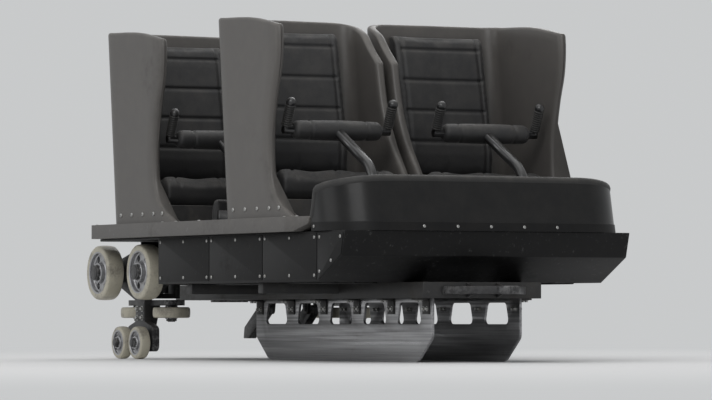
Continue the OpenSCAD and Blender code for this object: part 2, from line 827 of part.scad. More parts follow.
mirror([0, 1, 0]) lap_bar(front_row_x);  // lap_bar_front_left
lap_pad(rear_row_x);  // lap_pad_rear_right
mirror([0, 1, 0]) lap_pad(rear_row_x);  // lap_pad_rear_left
lap_pad(front_row_x);  // lap_pad_front_right
mirror([0, 1, 0]) lap_pad(front_row_x);  // lap_pad_front_left
drawbar();
rear_coupling();
brake_fins();
dog(chain_dog_x, 150, 190);  // chain_dog
dog(rollback_dog_x, 120, 170);  // rollback_dog
carrier();  // carrier_right
mirror([0, 1, 0]) carrier();  // carrier_left
road_wheel(1);  // road_wheel_right_front
road_wheel(-1);  // road_wheel_right_rear
mirror([0, 1, 0]) road_wheel(1);  // road_wheel_left_front
mirror([0, 1, 0]) road_wheel(-1);  // road_wheel_left_rear
guide_wheel(1);  // guide_wheel_right_front
guide_wheel(-1);  // guide_wheel_right_rear
mirror([0, 1, 0]) guide_wheel(1);  // guide_wheel_left_front
mirror([0, 1, 0]) guide_wheel(-1);  // guide_wheel_left_rear
up_stop_wheel(1);  // up_stop_right_front
up_stop_wheel(-1);  // up_stop_right_rear
mirror([0, 1, 0]) up_stop_wheel(1);  // up_stop_left_front
mirror([0, 1, 0]) up_stop_wheel(-1);  // up_stop_left_rear
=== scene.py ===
"""Dresses the solids of an open two-row roller coaster car: finishes, cushions, wheels and fastenings."""

import json
import logging
import math
from dataclasses import dataclass
from enum import Enum
from typing import Callable, Iterable, Iterator, Sequence

import bpy
from mathutils import Matrix, Vector

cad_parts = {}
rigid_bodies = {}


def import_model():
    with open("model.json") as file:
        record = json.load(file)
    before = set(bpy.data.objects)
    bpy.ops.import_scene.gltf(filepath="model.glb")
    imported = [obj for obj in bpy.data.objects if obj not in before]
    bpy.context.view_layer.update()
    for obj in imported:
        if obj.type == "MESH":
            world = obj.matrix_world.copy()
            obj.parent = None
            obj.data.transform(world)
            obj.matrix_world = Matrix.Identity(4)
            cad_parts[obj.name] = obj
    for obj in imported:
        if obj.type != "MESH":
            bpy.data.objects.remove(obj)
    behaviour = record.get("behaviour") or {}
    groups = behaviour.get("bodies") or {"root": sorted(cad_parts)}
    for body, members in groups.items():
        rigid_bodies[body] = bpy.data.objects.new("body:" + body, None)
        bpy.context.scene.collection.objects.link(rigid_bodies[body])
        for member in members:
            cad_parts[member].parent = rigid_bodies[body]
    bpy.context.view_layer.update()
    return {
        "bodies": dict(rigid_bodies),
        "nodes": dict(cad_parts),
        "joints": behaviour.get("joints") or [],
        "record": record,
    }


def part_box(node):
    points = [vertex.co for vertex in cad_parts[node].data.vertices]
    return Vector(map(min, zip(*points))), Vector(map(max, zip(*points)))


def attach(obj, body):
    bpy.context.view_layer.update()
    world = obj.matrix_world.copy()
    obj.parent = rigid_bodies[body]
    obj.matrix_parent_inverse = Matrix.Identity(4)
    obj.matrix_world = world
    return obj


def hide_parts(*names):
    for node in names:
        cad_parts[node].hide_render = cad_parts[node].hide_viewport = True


LOG = logging.getLogger("coaster_car")

Piece = bpy.types.Object
Socket = bpy.types.NodeSocket
Tree = bpy.types.NodeTree
Pair = tuple[float, float]
Point = tuple[float, float, float]
Outline = Sequence[Pair]
Table = Sequence[Pair]

MERGE = 0.00002
FINE_MERGE = 0.000001
SHARP_ANGLE = 32.0
SMOOTH_ANGLE = 38.0
ROUND_ANGLE = 30.0
WALL_ANGLE = 50.0
PAD_ANGLE = 70.0
SOFT_ANGLE = 80.0
MIRROR = Matrix.Diagonal((1, -1, 1, 1))
SIDES = (("right", Matrix.Identity(4)), ("left", MIRROR))
UP = (0, 0, 1)
RIGHT = (0, -1, 0)


# Workbench


def deselect() -> None:
    """Leaves nothing selected, in object mode."""
    if bpy.context.mode != "OBJECT":
        bpy.ops.object.mode_set(mode="OBJECT")
    bpy.ops.object.select_all(action="DESELECT")


def pick(piece: Piece) -> None:
    """Selects one piece alone and makes it active.

    Args:
        piece: the piece to select.
    """
    deselect()
    piece.select_set(True)
    bpy.context.view_layer.objects.active = piece


def open_mesh(piece: Piece) -> None:
    """Opens a piece in edit mode with all of it selected.

    Args:
        piece: the piece to open.
    """
    pick(piece)
    bpy.ops.object.mode_set(mode="EDIT")
    bpy.ops.mesh.select_all(action="SELECT")


def close_mesh() -> None:
    """Leaves edit mode."""
    bpy.ops.object.mode_set(mode="OBJECT")


def settle(piece: Piece) -> None:
    """Merges doubles and points the faces outwards.

    Args:
        piece: the piece that is changed.
    """
    open_mesh(piece)
    bpy.ops.mesh.remove_doubles(threshold=MERGE)
    bpy.ops.mesh.normals_make_consistent(inside=False)
    close_mesh()


def modify(piece: Piece, kind: str, **values: object) -> None:
    """Adds one modifier with its values and applies it.

    Args:
        piece: the piece that is changed.
        kind: Blender's name of the modifier type.
        values: the modifier's settings.
    """
    pick(piece)
    modifier = piece.modifiers.new(kind.title(), kind)
    for key, value in values.items():
        setattr(modifier, key, value)
    bpy.ops.object.modifier_apply(modifier=modifier.name)


def smooth(piece: Piece, angle: float = SMOOTH_ANGLE) -> None:
    """Smooths the shading across edges flatter than an angle in degrees."""
    pick(piece)
    bpy.ops.object.shade_smooth_by_angle(angle=math.radians(angle))


def round_edges(piece: Piece, width: float, segments: int = 2) -> None:
    """Bevels the sharp edges of a piece and smooths its shading.

    Args:
        piece: the piece that is changed.
        width: the bevel's width in metres.
        segments: faces across it.
    """
    modify(
        piece, "BEVEL", width=width, segments=segments, limit_method="ANGLE",
        angle_limit=math.radians(SHARP_ANGLE), harden_normals=False, use_clamp_overlap=True,
    )
    smooth(piece)


def named(name: str) -> Piece:
    """Names the piece that was just added, and fixes its place in its mesh.

    Args:
        name: its new name.

    Returns:
        The piece.
    """
    piece = bpy.context.active_object
    piece.name = name
    piece.data.name = name
    pick(piece)
    bpy.ops.object.transform_apply(location=True, rotation=True, scale=True)
    return piece


def block(name: str, low: Point, high: Point, edge: float) -> Piece:
    """A box between two corners with rounded edges.

    Args:
        name: the piece's name.
        low: its lowest corner.
        high: its highest corner.
        edge: the bevel's width.

    Returns:
        The new piece.
    """
    deselect()
    size = [b - a for a, b in zip(low, high)]
    middle = [(a + b) / 2 for a, b in zip(low, high)]
    bpy.ops.mesh.primitive_cube_add(size=1.0, location=middle, scale=size)
    piece = named(name)
    round_edges(piece, edge)
    return piece


def plate(name: str, outline: Outline, low: float, high: float, edge: float) -> Piece:
    """An outline that is extruded across the car.

    Args:
        name: the piece's name.
        outline: points in X and Z.
        low: Y where it starts.
        high: Y where it ends.
        edge: the bevel of its edges.

    Returns:
        The new piece.
    """
    deselect()
    bpy.ops.mesh.primitive_circle_add(vertices=len(outline), radius=1.0, fill_type="NGON")
    piece = named(name)
    for vertex, (x, z) in zip(piece.data.vertices, outline):
        vertex.co = (x, low, z)
    open_mesh(piece)
    bpy.ops.mesh.extrude_region_move(TRANSFORM_OT_translate={"value": (0.0, high - low, 0.0)})
    close_mesh()
    settle(piece)
    round_edges(piece, edge)
    return piece


def rounded(points: Outline, radius: float) -> list[Pair]:
    """An outline whose corners are rounded by one radius, each in four steps.

    Args:
        points: the corners in order.
        radius: the radius of each corner.

    Returns:
        The finer outline.
    """
    steps = 4
    result = []
    for i, point in enumerate(points):
        here = Vector(point)
        before = (Vector(points[i - 1]) - here).normalized()
        after = (Vector(points[(i + 1) % len(points)]) - here).normalized()
        half = before.angle(after) / 2
        centre = here + (before + after).normalized() * (radius / math.sin(half))
        start = here + before * (radius / math.tan(half)) - centre
        end = here + after * (radius / math.tan(half)) - centre
        for k in range(steps + 1):
            result.append(tuple(centre + start.lerp(end, k / steps).normalized() * radius))
    return result


def lathe(name: str, profile: Outline, steps: int) -> Piece:
    """A closed profile of radius and height, spun round Z at the origin.

    Args:
        name: the piece's name.
        profile: points of radius and height.
        steps: faces round the piece.

    Returns:
        The new piece.
    """
    deselect()
    bpy.ops.mesh.primitive_circle_add(vertices=len(profile), radius=1.0, fill_type="NOTHING")
    piece = named(name)
    for vertex, (radius, height) in zip(piece.data.vertices, profile):
        vertex.co = (radius, 0.0, height)
    open_mesh(piece)
    bpy.ops.mesh.spin(steps=steps, angle=math.tau, center=(0, 0, 0), axis=UP)
    close_mesh()
    settle(piece)
    smooth(piece, ROUND_ANGLE)
    return piece


def pipe(name: str, path: Sequence[Point], radius: float, sides: int) -> Piece:
    """A round tube along points, with closed ends.

    Args:
        name: the piece's name.
        path: the points of its middle line.
        radius: its radius.
        sides: how finely it is rounded.

    Returns:
        The new piece.
    """
    curve = bpy.data.curves.new(name, "CURVE")
    curve.dimensions = "3D"
    curve.bevel_depth = radius
    curve.bevel_resolution = sides
    curve.use_fill_caps = True
    spline = curve.splines.new("POLY")
    spline.points.add(len(path) - 1)
    for point, place in zip(spline.points, path):
        point.co = (*place, 1.0)
    piece = bpy.data.objects.new(name, curve)
    bpy.context.scene.collection.objects.link(piece)
    pick(piece)
    bpy.ops.object.convert(target="MESH")
    piece = bpy.context.active_object
    settle(piece)
    smooth(piece)
    return piece


def copy_of(piece: Piece, name: str, matrix: Matrix) -> Piece:
    """A copy with its own mesh, moved or mirrored by a matrix.

    Args:
        piece: the piece that is copied.
        name: the copy's name.
        matrix: where the copy goes.

    Returns:
        The copy.
    """
    twin = piece.copy()
    twin.data = piece.data.copy()
    twin.name = name
    twin.data.name = name
    twin.data.transform(matrix)
    if matrix.determinant() < 0:
        twin.data.flip_normals()
    bpy.context.scene.collection.objects.link(twin)
    return twin


def discard(*pieces: Piece) -> None:
    """Removes seeds that are no longer needed."""
    for piece in pieces:
        bpy.data.objects.remove(piece, do_unlink=True)


def joined(name: str, pieces: Sequence[Piece]) -> Piece:
    """Several pieces joined into one.

    Args:
        name: its name.
        pieces: what is joined.

    Returns:
        The joined piece.
    """
    deselect()
    for piece in pieces:
        piece.select_set(True)
    bpy.context.view_layer.objects.active = pieces[0]
    bpy.ops.object.join()
    piece = bpy.context.active_object
    piece.name = name
    piece.data.name = name
    return piece


def scattered(name: str, seed: Piece, places: Iterable[Matrix]) -> Piece:
    """Copies of a seed at several places, joined into one piece, which takes the seed's place.

    Args:
        name: the piece's name.
        seed: what is copied. It is dropped afterwards.
        places: where the copies go.

    Returns:
        The joined piece.
    """
    piece = joined(name, [copy_of(seed, f"{name}_{i}", place) for i, place in enumerate(places)])
    discard(seed)
    return piece


def aimed(place: Sequence[float], towards: Sequence[float]) -> Matrix:
    """The matrix that puts something built along +Z at a place, pointing a way."""
    turn = Vector(UP).rotation_difference(Vector(towards).normalized()).to_matrix().to_4x4()
    return Matrix.Translation(Vector(place)) @ turn


def bolt_seed(name: str, radius: float, height: float) -> Piece:
    """A hexagon bolt head on its washer, along +Z.

    Args:
        name: the seed's name.
        radius: from its middle to a corner.
        height: of the head.

    Returns:
        The seed.
    """
    washer_half, head_z = radius * 0.15, height / 2 + radius * 0.25
    deselect()
    bpy.ops.mesh.primitive_cylinder_add(vertices=6, radius=radius, depth=height, location=(0, 0, head_z))
    head = named(f"{name}_head")
    round_edges(head, radius * 0.12, segments=1)
    bpy.ops.mesh.primitive_cylinder_add(
        vertices=18, radius=radius * 1.45, depth=2 * washer_half, location=(0, 0, washer_half),
    )
    washer = named(f"{name}_washer")
    round_edges(washer, radius * 0.06, segments=1)
    return joined(name, [head, washer])


def button_seed(name: str, radius: float) -> Piece:
    """A low round screw head with a socket, along +Z.

    Args:
        name: the seed's name.
        radius: of the head.

    Returns:
        The seed.
    """
    top, axis = radius * 0.5, 0.0001
    return lathe(name, [
        (axis, 0.0), (radius, 0.0), (radius, top * 0.35), (radius * 0.86, top * 0.75), (radius * 0.6, top),
        (radius * 0.38, top), (radius * 0.36, top * 0.35), (axis, top * 0.35),
    ], steps=14)


def lookup(value: float, table: Table) -> float:
    """A smooth reading between the rows of a table.

    Args:
        value: where the table is read.
        table: rows of a place and its value, in order.

    Returns:
        The value there.
    """
    if value <= table[0][0]:
        return table[0][1]
    for i in range(len(table) - 1):
        a, b = table[i], table[i + 1]
        if value <= b[0]:
            before = table[i - 1] if i > 0 else a
            after = table[i + 2] if i + 2 < len(table) else b
            span = b[0] - a[0]
            start = (b[1] - before[1]) / (b[0] - before[0]) * span
            end = (after[1] - a[1]) / (after[0] - a[0]) * span
            t = (value - a[0]) / span
            return (
                (2 * t**3 - 3 * t**2 + 1) * a[1] + (t**3 - 2 * t**2 + t) * start
                + (3 * t**2 - 2 * t**3) * b[1] + (t**3 - t**2) * end
            )
    return table[-1][1]


def groove(value: float, at: float, width: float) -> float:
    """The depth, from 0 to 1, of a rounded groove at a place."""
    return math.exp(-((value - at) / width) ** 2)


# Places read from the frame


def solid_box(node: str) -> tuple[Point, Point]:
    """The lowest and the highest corner of a solid, to a tenth of a millimetre."""
    low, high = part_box(node)
    return tuple(round(v, 4) for v in low), tuple(round(v, 4) for v in high)


class Car:
    """Places and levels of the car, in metres, read from its joints and solids.

    A lap bar's pivot stands PIVOT_AHEAD of the back of its seat, and a cushion's top CUSHION_RISE
    over its stand.
    """

    PIVOT_AHEAD = 0.760
    CUSHION_RISE = 0.100

    def __init__(self, joints: Sequence[dict]) -> None:
        """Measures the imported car.

        Args:
            joints: the frame's joints.
        """
        self.joints = {joint["name"]: tuple(joint["pos_m"]) for joint in joints}
        self.axle_x, self.kingpin_y, _ = self.joints["steer_left"]
        self.pivot = self.joints["lap_bar_rear_right_swing"]
        self.seat_y = -self.pivot[1]
        self.rear_row = round(self.pivot[0] - self.PIVOT_AHEAD, 4)
        self.row_pitch = self.joints["lap_bar_front_right_swing"][0] - self.pivot[0]
        (_, _, self.deck_z), (_, self.half_width, self.sill_z) = solid_box("sill_left")
        (_, _, self.frame_z), (_, self.tub_half, _) = solid_box("tub")
        _, (self.cowl_x, self.cowl_half, _) = solid_box("front_cowl")
        _, (_, self.fin_y, self.tube_low) = solid_box("brake_fins")
        _, (_, _, self.beam_top) = solid_box("axle_beam")
        (_, _, self.floor_z), (_, _, stand_z) = solid_box("seat_base_front")
        self.seat_z = round(stand_z + self.CUSHION_RISE, 4)

    def seats(self) -> Iterator[tuple[str, Matrix]]:
        """The four seats, from the rear right-hand one.

        Yields:
            A seat's name, and the matrix that puts a rear right-hand piece there.
        """
        for row, x in (("rear", 0.0), ("front", self.row_pitch)):
            for side, turn in SIDES:
                yield f"{row}_{side}", turn @ Matrix.Translation((x, 0, 0))


# Finishes


class Desk:
    """A small workbench for one shader tree."""

    def __init__(self, tree: Tree) -> None:
        """Takes the tree that the nodes go into, and empties it."""
        self.tree = tree
        tree.nodes.clear()

    def node(self, kind: str, **inputs: object) -> bpy.types.Node:
        """Adds a node; names with a leading underscore are its properties, others its inputs.

        Args:
            kind: Blender's name of the node type.
            inputs: values and links; an underscore stands for a space.

        Returns:
            The new node.
        """
        made = self.tree.nodes.new(kind)
        for key, value in inputs.items():
            if key.startswith("_"):
                setattr(made, key[1:], value)
            else:
                self.feed(made.inputs[key.replace("_", " ")], value)
        return made

    def feed(self, socket: Socket, value: object) -> None:
        """Links a socket, or sets its value.

        Args:
            socket: the input.
            value: another socket, or a plain value.
        """
        if isinstance(value, Socket):
            self.tree.links.new(value, socket)
        else:
            socket.default_value = value

    def chain(self, kind: str, values: Sequence[object], **inputs: object) -> bpy.types.Node:
        """Adds a node and feeds its first inputs in order.

        Args:
            kind: Blender's name of the node type.
            values: what goes into its first inputs.
            inputs: further properties and inputs by name.

        Returns:
            The new node.
        """
        made = self.node(kind, **inputs)
        for i, value in enumerate(values):
            self.feed(made.inputs[i], value)
        return made

    def math(self, how: str, a: object, b: object) -> Socket:
        """The result of one piece of arithmetic."""
        return self.chain("ShaderNodeMath", (a, b), _operation=how).outputs[0]

    def add(self, a: object, b: object) -> Socket:
        """The sum of two values."""
        return self.math("ADD", a, b)

    def sub(self, a: object, b: object) -> Socket:
        """What is left of one value without another."""
        return self.math("SUBTRACT", a, b)

    def mul(self, a: object, b: object) -> Socket:
        """The product of two values."""
        return self.math("MULTIPLY", a, b)

    def ramp(self, value: object, *ends: object) -> Socket:
        """A value mapped smoothly from one range to another, or to 0 and 1."""
        made = self.chain("ShaderNodeMapRange", (value, *ends), _interpolation_type="SMOOTHSTEP")
        return made.outputs[0]

    def noise(self, where: Socket, scale: object, detail: float = 5.0, rough: float = 0.55) -> Socket:
        """Cloudy noise between 0 and 1."""
        made = self.node("ShaderNodeTexNoise", Vector=where, Scale=scale, Detail=detail, Roughness=rough)
        return made.outputs["Fac"]

    def blend(self, amount: object, a: object, b: object) -> Socket:
        """One colour mixed over another.

        Args:
            amount: how much of the second shows.
            a: the first colour.
            b: the second colour.

        Returns:
            The mixed colour.
        """
        made = self.node("ShaderNodeMix", _data_type="RGBA")
        for i, value in ((0, amount), (6, a), (7, b)):
            self.feed(made.inputs[i], value)
        return made.outputs[2]

    def between(self, amount: Socket, a: Socket, b: Socket) -> Socket:
        """One shader mixed over another."""
        return self.chain("ShaderNodeMixShader", (amount, a, b)).outputs[0]

    def shown(self) -> Socket:
        """1 for the rays that show the background: camera, glossy and transmission rays.

        Returns:
            The mask.
        """
        path = self.node("ShaderNodeLightPath").outputs
        direct = self.math("MAXIMUM", path["Is Camera Ray"], path["Is Glossy Ray"])
        return self.math("MAXIMUM", direct, path["Is Transmission Ray"])

    def use(self, group: Tree, **inputs: object) -> Socket:
        """Places a node group with its values, and gives what it puts out.

        Args:
            group: the node group.
            inputs: its values and links.

        Returns:
            Its first output.
        """
        made = self.tree.nodes.new("ShaderNodeGroup")
        made.node_tree = group
        for key, value in inputs.items():
            self.feed(made.inputs[key], value)
        return made.outputs[0]


class Group(Desk):
    """A shader group with float inputs and one float output."""

    def __init__(self, name: str, output: str, **inputs: float) -> None:
        """Starts the group.

        Args:
            name: the group's name.
            output: the name of what it puts out.
            inputs: its inputs with their usual values.
        """
        super().__init__(bpy.data.node_groups.new(name, "ShaderNodeTree"))
        face = self.tree.interface
        for label, value in inputs.items():
            face.new_socket(label, in_out="INPUT", socket_type="NodeSocketFloat").default_value = value
        face.new_socket(output, in_out="OUTPUT", socket_type="NodeSocketFloat")
        self.given = self.node("NodeGroupInput").outputs
        self.out = self.node("NodeGroupOutput").inputs[output]
        self.where = self.node("ShaderNodeTexCoord").outputs["Object"]

    def done(self, value: Socket) -> Tree:
        """Puts a value out and gives the finished group."""
        self.feed(self.out, value)
        return self.tree


class Effects:
    """The shader groups that several finishes share."""

    def __init__(self) -> None:
        """Builds each group once."""
        self.stains = self.make_stains()
        self.wear = self.make_wear()
        self.dust = self.make_dust()
        self.grain = self.make_grain()
        self.scores = self.make_scores()
        self.leather = self.make_leather()

    @staticmethod
    def make_stains() -> Tree:
        """Soft stains: a large cloud broken up by a small one.

        Returns:
            The shader group.
        """
        group = Group("stains", "Mask", Scale=6.0, Amount=0.5)
        large = group.noise(group.where, group.given["Scale"], detail=4.0)
        small = group.noise(group.where, group.mul(group.given["Scale"], 9.0), detail=6.0, rough=0.7)
        cloud = group.add(group.mul(large, 0.65), group.mul(small, 0.35))
        start = group.sub(0.72, group.mul(group.given["Amount"], 0.4))
        return group.done(group.ramp(cloud, start, group.add(start, 0.22)))

    @staticmethod
    def make_wear() -> Tree:
        """Chipped and rubbed convex edges.

        Returns:
            The shader group.
        """
        group = Group("edge_wear", "Mask", Scale=40.0, Amount=0.5)
        edge = group.ramp(group.node("ShaderNodeNewGeometry").outputs["Pointiness"], 0.515, 0.60)
        chips = group.noise(group.where, group.given["Scale"], detail=8.0, rough=0.75)
        start = group.sub(0.8, group.mul(group.given["Amount"], 0.5))
        return group.done(group.mul(edge, group.ramp(chips, start, group.add(start, 0.12))))

    @staticmethod
    def make_dust() -> Tree:
        """Dust that lies on what faces upwards.

        Returns:
            The shader group.
        """
        group = Group("dust", "Mask", Scale=14.0, Amount=0.5)
        normal = group.node("ShaderNodeTexCoord").outputs["Normal"]
        facing = group.node("ShaderNodeSeparateXYZ", Vector=normal).outputs["Z"]
        cloud = group.ramp(group.noise(group.where, group.given["Scale"], detail=7.0, rough=0.68), 0.25, 0.8)
        lying = group.mul(group.ramp(facing, -0.2, 1.0, 0.12, 1.0), cloud)
        return group.done(group.mul(lying, group.given["Amount"]))

    @staticmethod
    def make_grain() -> Tree:
        """The orange peel of paint and the grain of castings.

        Returns:
            The shader group.
        """
        group = Group("fine_grain", "Height", Scale=300.0)
        fine = group.noise(group.where, group.given["Scale"], detail=3.0, rough=0.5)
        broad = group.noise(group.where, group.mul(group.given["Scale"], 0.12), detail=2.0, rough=0.5)
        return group.done(group.add(fine, group.mul(broad, 0.8)))

    @staticmethod
    def make_scores() -> Tree:
        """Long scores along the car, as brakes and rails leave them.

        Returns:
            The shader group.
        """
        group = Group("scores", "Mask", Scale=1.0)
        layers = []
        for along, across, share, detail, rough in ((1.2, 90.0, 0.6, 4.0, 0.6), (0.7, 14.0, 0.4, 3.0, 0.5)):
            drawn = group.node("ShaderNodeMapping", Vector=group.where, Scale=(along, across, across))
            lines = group.noise(drawn.outputs[0], group.given["Scale"], detail, rough)
            layers.append(group.mul(lines, share))
        return group.done(group.ramp(group.add(*layers), 0.3, 0.7))

    @staticmethod
    def make_leather() -> Tree:
        """The pebbled skin of moulded foam.

        Returns:
            The shader group.
        """
        group = Group("foam_skin", "Height", Scale=420.0)
        cells = group.node("ShaderNodeTexVoronoi", Vector=group.where, Scale=group.given["Scale"])
        creases = group.noise(group.where, scale=22.0, detail=5.0, rough=0.6)
        pebbles = group.ramp(cells.outputs["Distance"], 0.05, 0.55)
        return group.done(group.add(group.mul(pebbles, -0.5), creases))


@dataclass(frozen=True)
class Finish:
    """One surface: its colours, gloss, grain, dust and wear."""

    name: str
    colour: Point
    stain: Point
    roughness: float
    metallic: float = 0.0
    coat: float = 0.0
    specular: float = 0.5
    stain_scale: float = 6.0
    stain_amount: float = 0.5
    dust: float = 0.2
    dust_colour: Point = (0.34, 0.31, 0.27)
    wear: float = 0.4
    worn: Point = (0.42, 0.42, 0.43)
    worn_metal: float = 0.8
    grain_scale: float = 320.0
    grain_depth: float = 0.06
    leather: bool = False
    scored: bool = False
    sheen: float = 0.0

    DUST_SCALE = 15.0
    WEAR_SCALE = 55.0
    STAIN_ROUGH = 0.16
    DUST_ROUGH = 0.35
    SCORE_ROUGH = (0.2, -0.1)
    COAT_ROUGH = 0.18
    SHEEN_ROUGH = 0.45

    def make(self, effects: Effects) -> bpy.types.Material:
        """Builds the material.

        Args:
            effects: the shared shader groups.

        Returns:
            The new material.
        """
        material = bpy.data.materials.new(self.name)
        material.use_nodes = True
        desk = Desk(material.node_tree)
        shader = desk.node("ShaderNodeBsdfPrincipled", Specular_IOR_Level=self.specular)
        desk.node("ShaderNodeOutputMaterial", Surface=shader.outputs[0])
        stains = desk.use(effects.stains, Scale=self.stain_scale, Amount=self.stain_amount)
        dust = desk.use(effects.dust, Scale=self.DUST_SCALE, Amount=self.dust)
        wear = desk.use(effects.wear, Scale=self.WEAR_SCALE, Amount=self.wear)
        colour = desk.blend(stains, (*self.colour, 1), (*self.stain, 1))
        rough = desk.ramp(stains, 0.0, 1.0, self.roughness, self.roughness + self.STAIN_ROUGH)
        if self.scored:
            scores = desk.use(effects.scores, Scale=1.0)
            colour = desk.blend(scores, colour, (*self.worn, 1))
            rough = desk.ramp(scores, 0.0, 1.0, *(self.roughness + more for more in self.SCORE_ROUGH))
        if self.wear > 0:
            colour = desk.blend(wear, colour, (*self.worn, 1))
        if self.metallic > 0 or (self.wear > 0 and self.worn_metal > 0):
            metal = desk.ramp(wear, 0.0, 1.0, self.metallic, max(self.worn_metal, self.metallic))
            desk.feed(shader.inputs["Metallic"], desk.mul(metal, desk.sub(1.0, dust)))
        desk.feed(shader.inputs["Base Color"], desk.blend(dust, colour, (*self.dust_colour, 1)))
        desk.feed(shader.inputs["Roughness"], desk.add(rough, desk.mul(dust, self.DUST_ROUGH)))
        if self.coat > 0:
            shader.inputs["Coat Weight"].default_value = self.coat
            shader.inputs["Coat Roughness"].default_value = self.COAT_ROUGH
        if self.sheen > 0:
            shader.inputs["Sheen Weight"].default_value = self.sheen
            shader.inputs["Sheen Roughness"].default_value = self.SHEEN_ROUGH
        height = desk.use(effects.leather if self.leather else effects.grain, Scale=self.grain_scale)
        bump = desk.node("ShaderNodeBump", Strength=self.grain_depth, Distance=0.002, Height=height)
        desk.feed(shader.inputs["Normal"], bump.outputs[0])
        return material


class Paint(Enum):
    """Every finish on the car."""

    SHELL = Finish(
        "shell_paint", (0.098, 0.092, 0.086), (0.070, 0.065, 0.060), roughness=0.40, coat=0.10,
        specular=0.35, stain_scale=3.2, stain_amount=0.45, dust=0.30, wear=0.35, worn=(0.40, 0.39, 0.37),
        worn_metal=0.0, grain_depth=0.05,
    )
    SILL = Finish(
        "sill_paint", (0.108, 0.103, 0.098), (0.076, 0.072, 0.067), roughness=0.44, specular=0.35,
        stain_scale=5.0, stain_amount=0.55, dust=0.30, wear=0.50, worn=(0.24, 0.235, 0.23),
        grain_depth=0.05,
    )
    COWL = Finish(
        "cowl_gelcoat", (0.006, 0.006, 0.0064), (0.011, 0.0106, 0.010), roughness=0.30, coat=0.06,
        specular=0.26, stain_scale=3.0, dust=0.06, wear=0.30, worn=(0.08, 0.08, 0.08), worn_metal=0.0,
        grain_depth=0.03,
    )
    PANEL = Finish(
        "panel_paint", (0.005, 0.005, 0.0054), (0.009, 0.0088, 0.0084), roughness=0.48, specular=0.20,
        stain_scale=4.0, dust=0.04, wear=0.45, worn=(0.12, 0.12, 0.12),
    )
    FRAME = Finish(
        "frame_paint", (0.013, 0.013, 0.014), (0.030, 0.027, 0.023), roughness=0.48, stain_scale=7.0,
        stain_amount=0.6, wear=0.42, worn=(0.15, 0.145, 0.14), grain_depth=0.10,
    )
    CAST = Finish(
        "cast_steel", (0.034, 0.034, 0.036), (0.018, 0.016, 0.014), roughness=0.42, metallic=0.25,
        stain_scale=9.0, stain_amount=0.6, wear=0.7, worn=(0.30, 0.30, 0.30), grain_scale=180.0,
        grain_depth=0.22,
    )
    BARE = Finish(
        "bare_steel", (0.20, 0.20, 0.205), (0.12, 0.11, 0.10), roughness=0.36, metallic=0.9,
        stain_scale=4.0, dust=0.12, wear=0.3, worn=(0.44, 0.44, 0.45), scored=True, grain_depth=0.04,
    )
    BAR = Finish(
        "bar_coat", (0.020, 0.020, 0.021), (0.034, 0.033, 0.032), roughness=0.30, coat=0.3, stain_scale=8.0,
        dust=0.10, wear=0.32, worn=(0.17, 0.17, 0.17),
    )
    FOAM = Finish(
        "foam_skin", (0.019, 0.019, 0.020), (0.030, 0.029, 0.028), roughness=0.52, stain_scale=5.0,
        wear=0.0, grain_depth=0.35, leather=True, sheen=0.12,
    )
    GRIP = Finish(
        "grip_rubber", (0.014, 0.014, 0.014), (0.028, 0.027, 0.026), roughness=0.62, dust=0.18, wear=0.0,
        grain_depth=0.2, sheen=0.05,
    )
    TREAD = Finish(
        "wheel_tread", (0.50, 0.47, 0.38), (0.26, 0.24, 0.20), roughness=0.40, stain_scale=16.0,
        stain_amount=0.65, dust=0.15, dust_colour=(0.20, 0.18, 0.16), wear=0.0, grain_depth=0.08,
    )
    HUB = Finish(
        "turned_hub", (0.42, 0.42, 0.43), (0.24, 0.23, 0.22), roughness=0.34, metallic=0.85,
        stain_scale=18.0, dust=0.12, dust_colour=(0.14, 0.13, 0.12),
    )
    ZINC = Finish(
        "zinc_bolts", (0.40, 0.40, 0.39), (0.26, 0.24, 0.21), roughness=0.36, metallic=0.9,
        stain_scale=30.0, dust=0.15, wear=0.3, grain_depth=0.05,
    )
    MAT = Finish(
        "floor_mat", (0.020, 0.020, 0.020), (0.046, 0.043, 0.040), roughness=0.70, stain_scale=5.0,
        stain_amount=0.6, dust=0.5, wear=0.0, grain_depth=0.35,
    )


@dataclass(frozen=True)
class SeatPart:
    """A rear right-hand piece that all four seats get.

    Its node is the CAD node that it stands for, without the seat's name. It rides on the car, or on
    the seat's lap bar.
    """

    label: str
    seed: Piece
    paint: Paint
    slot: str
    node: str = ""
    on_bar: bool = False
    fill: float = 0.0


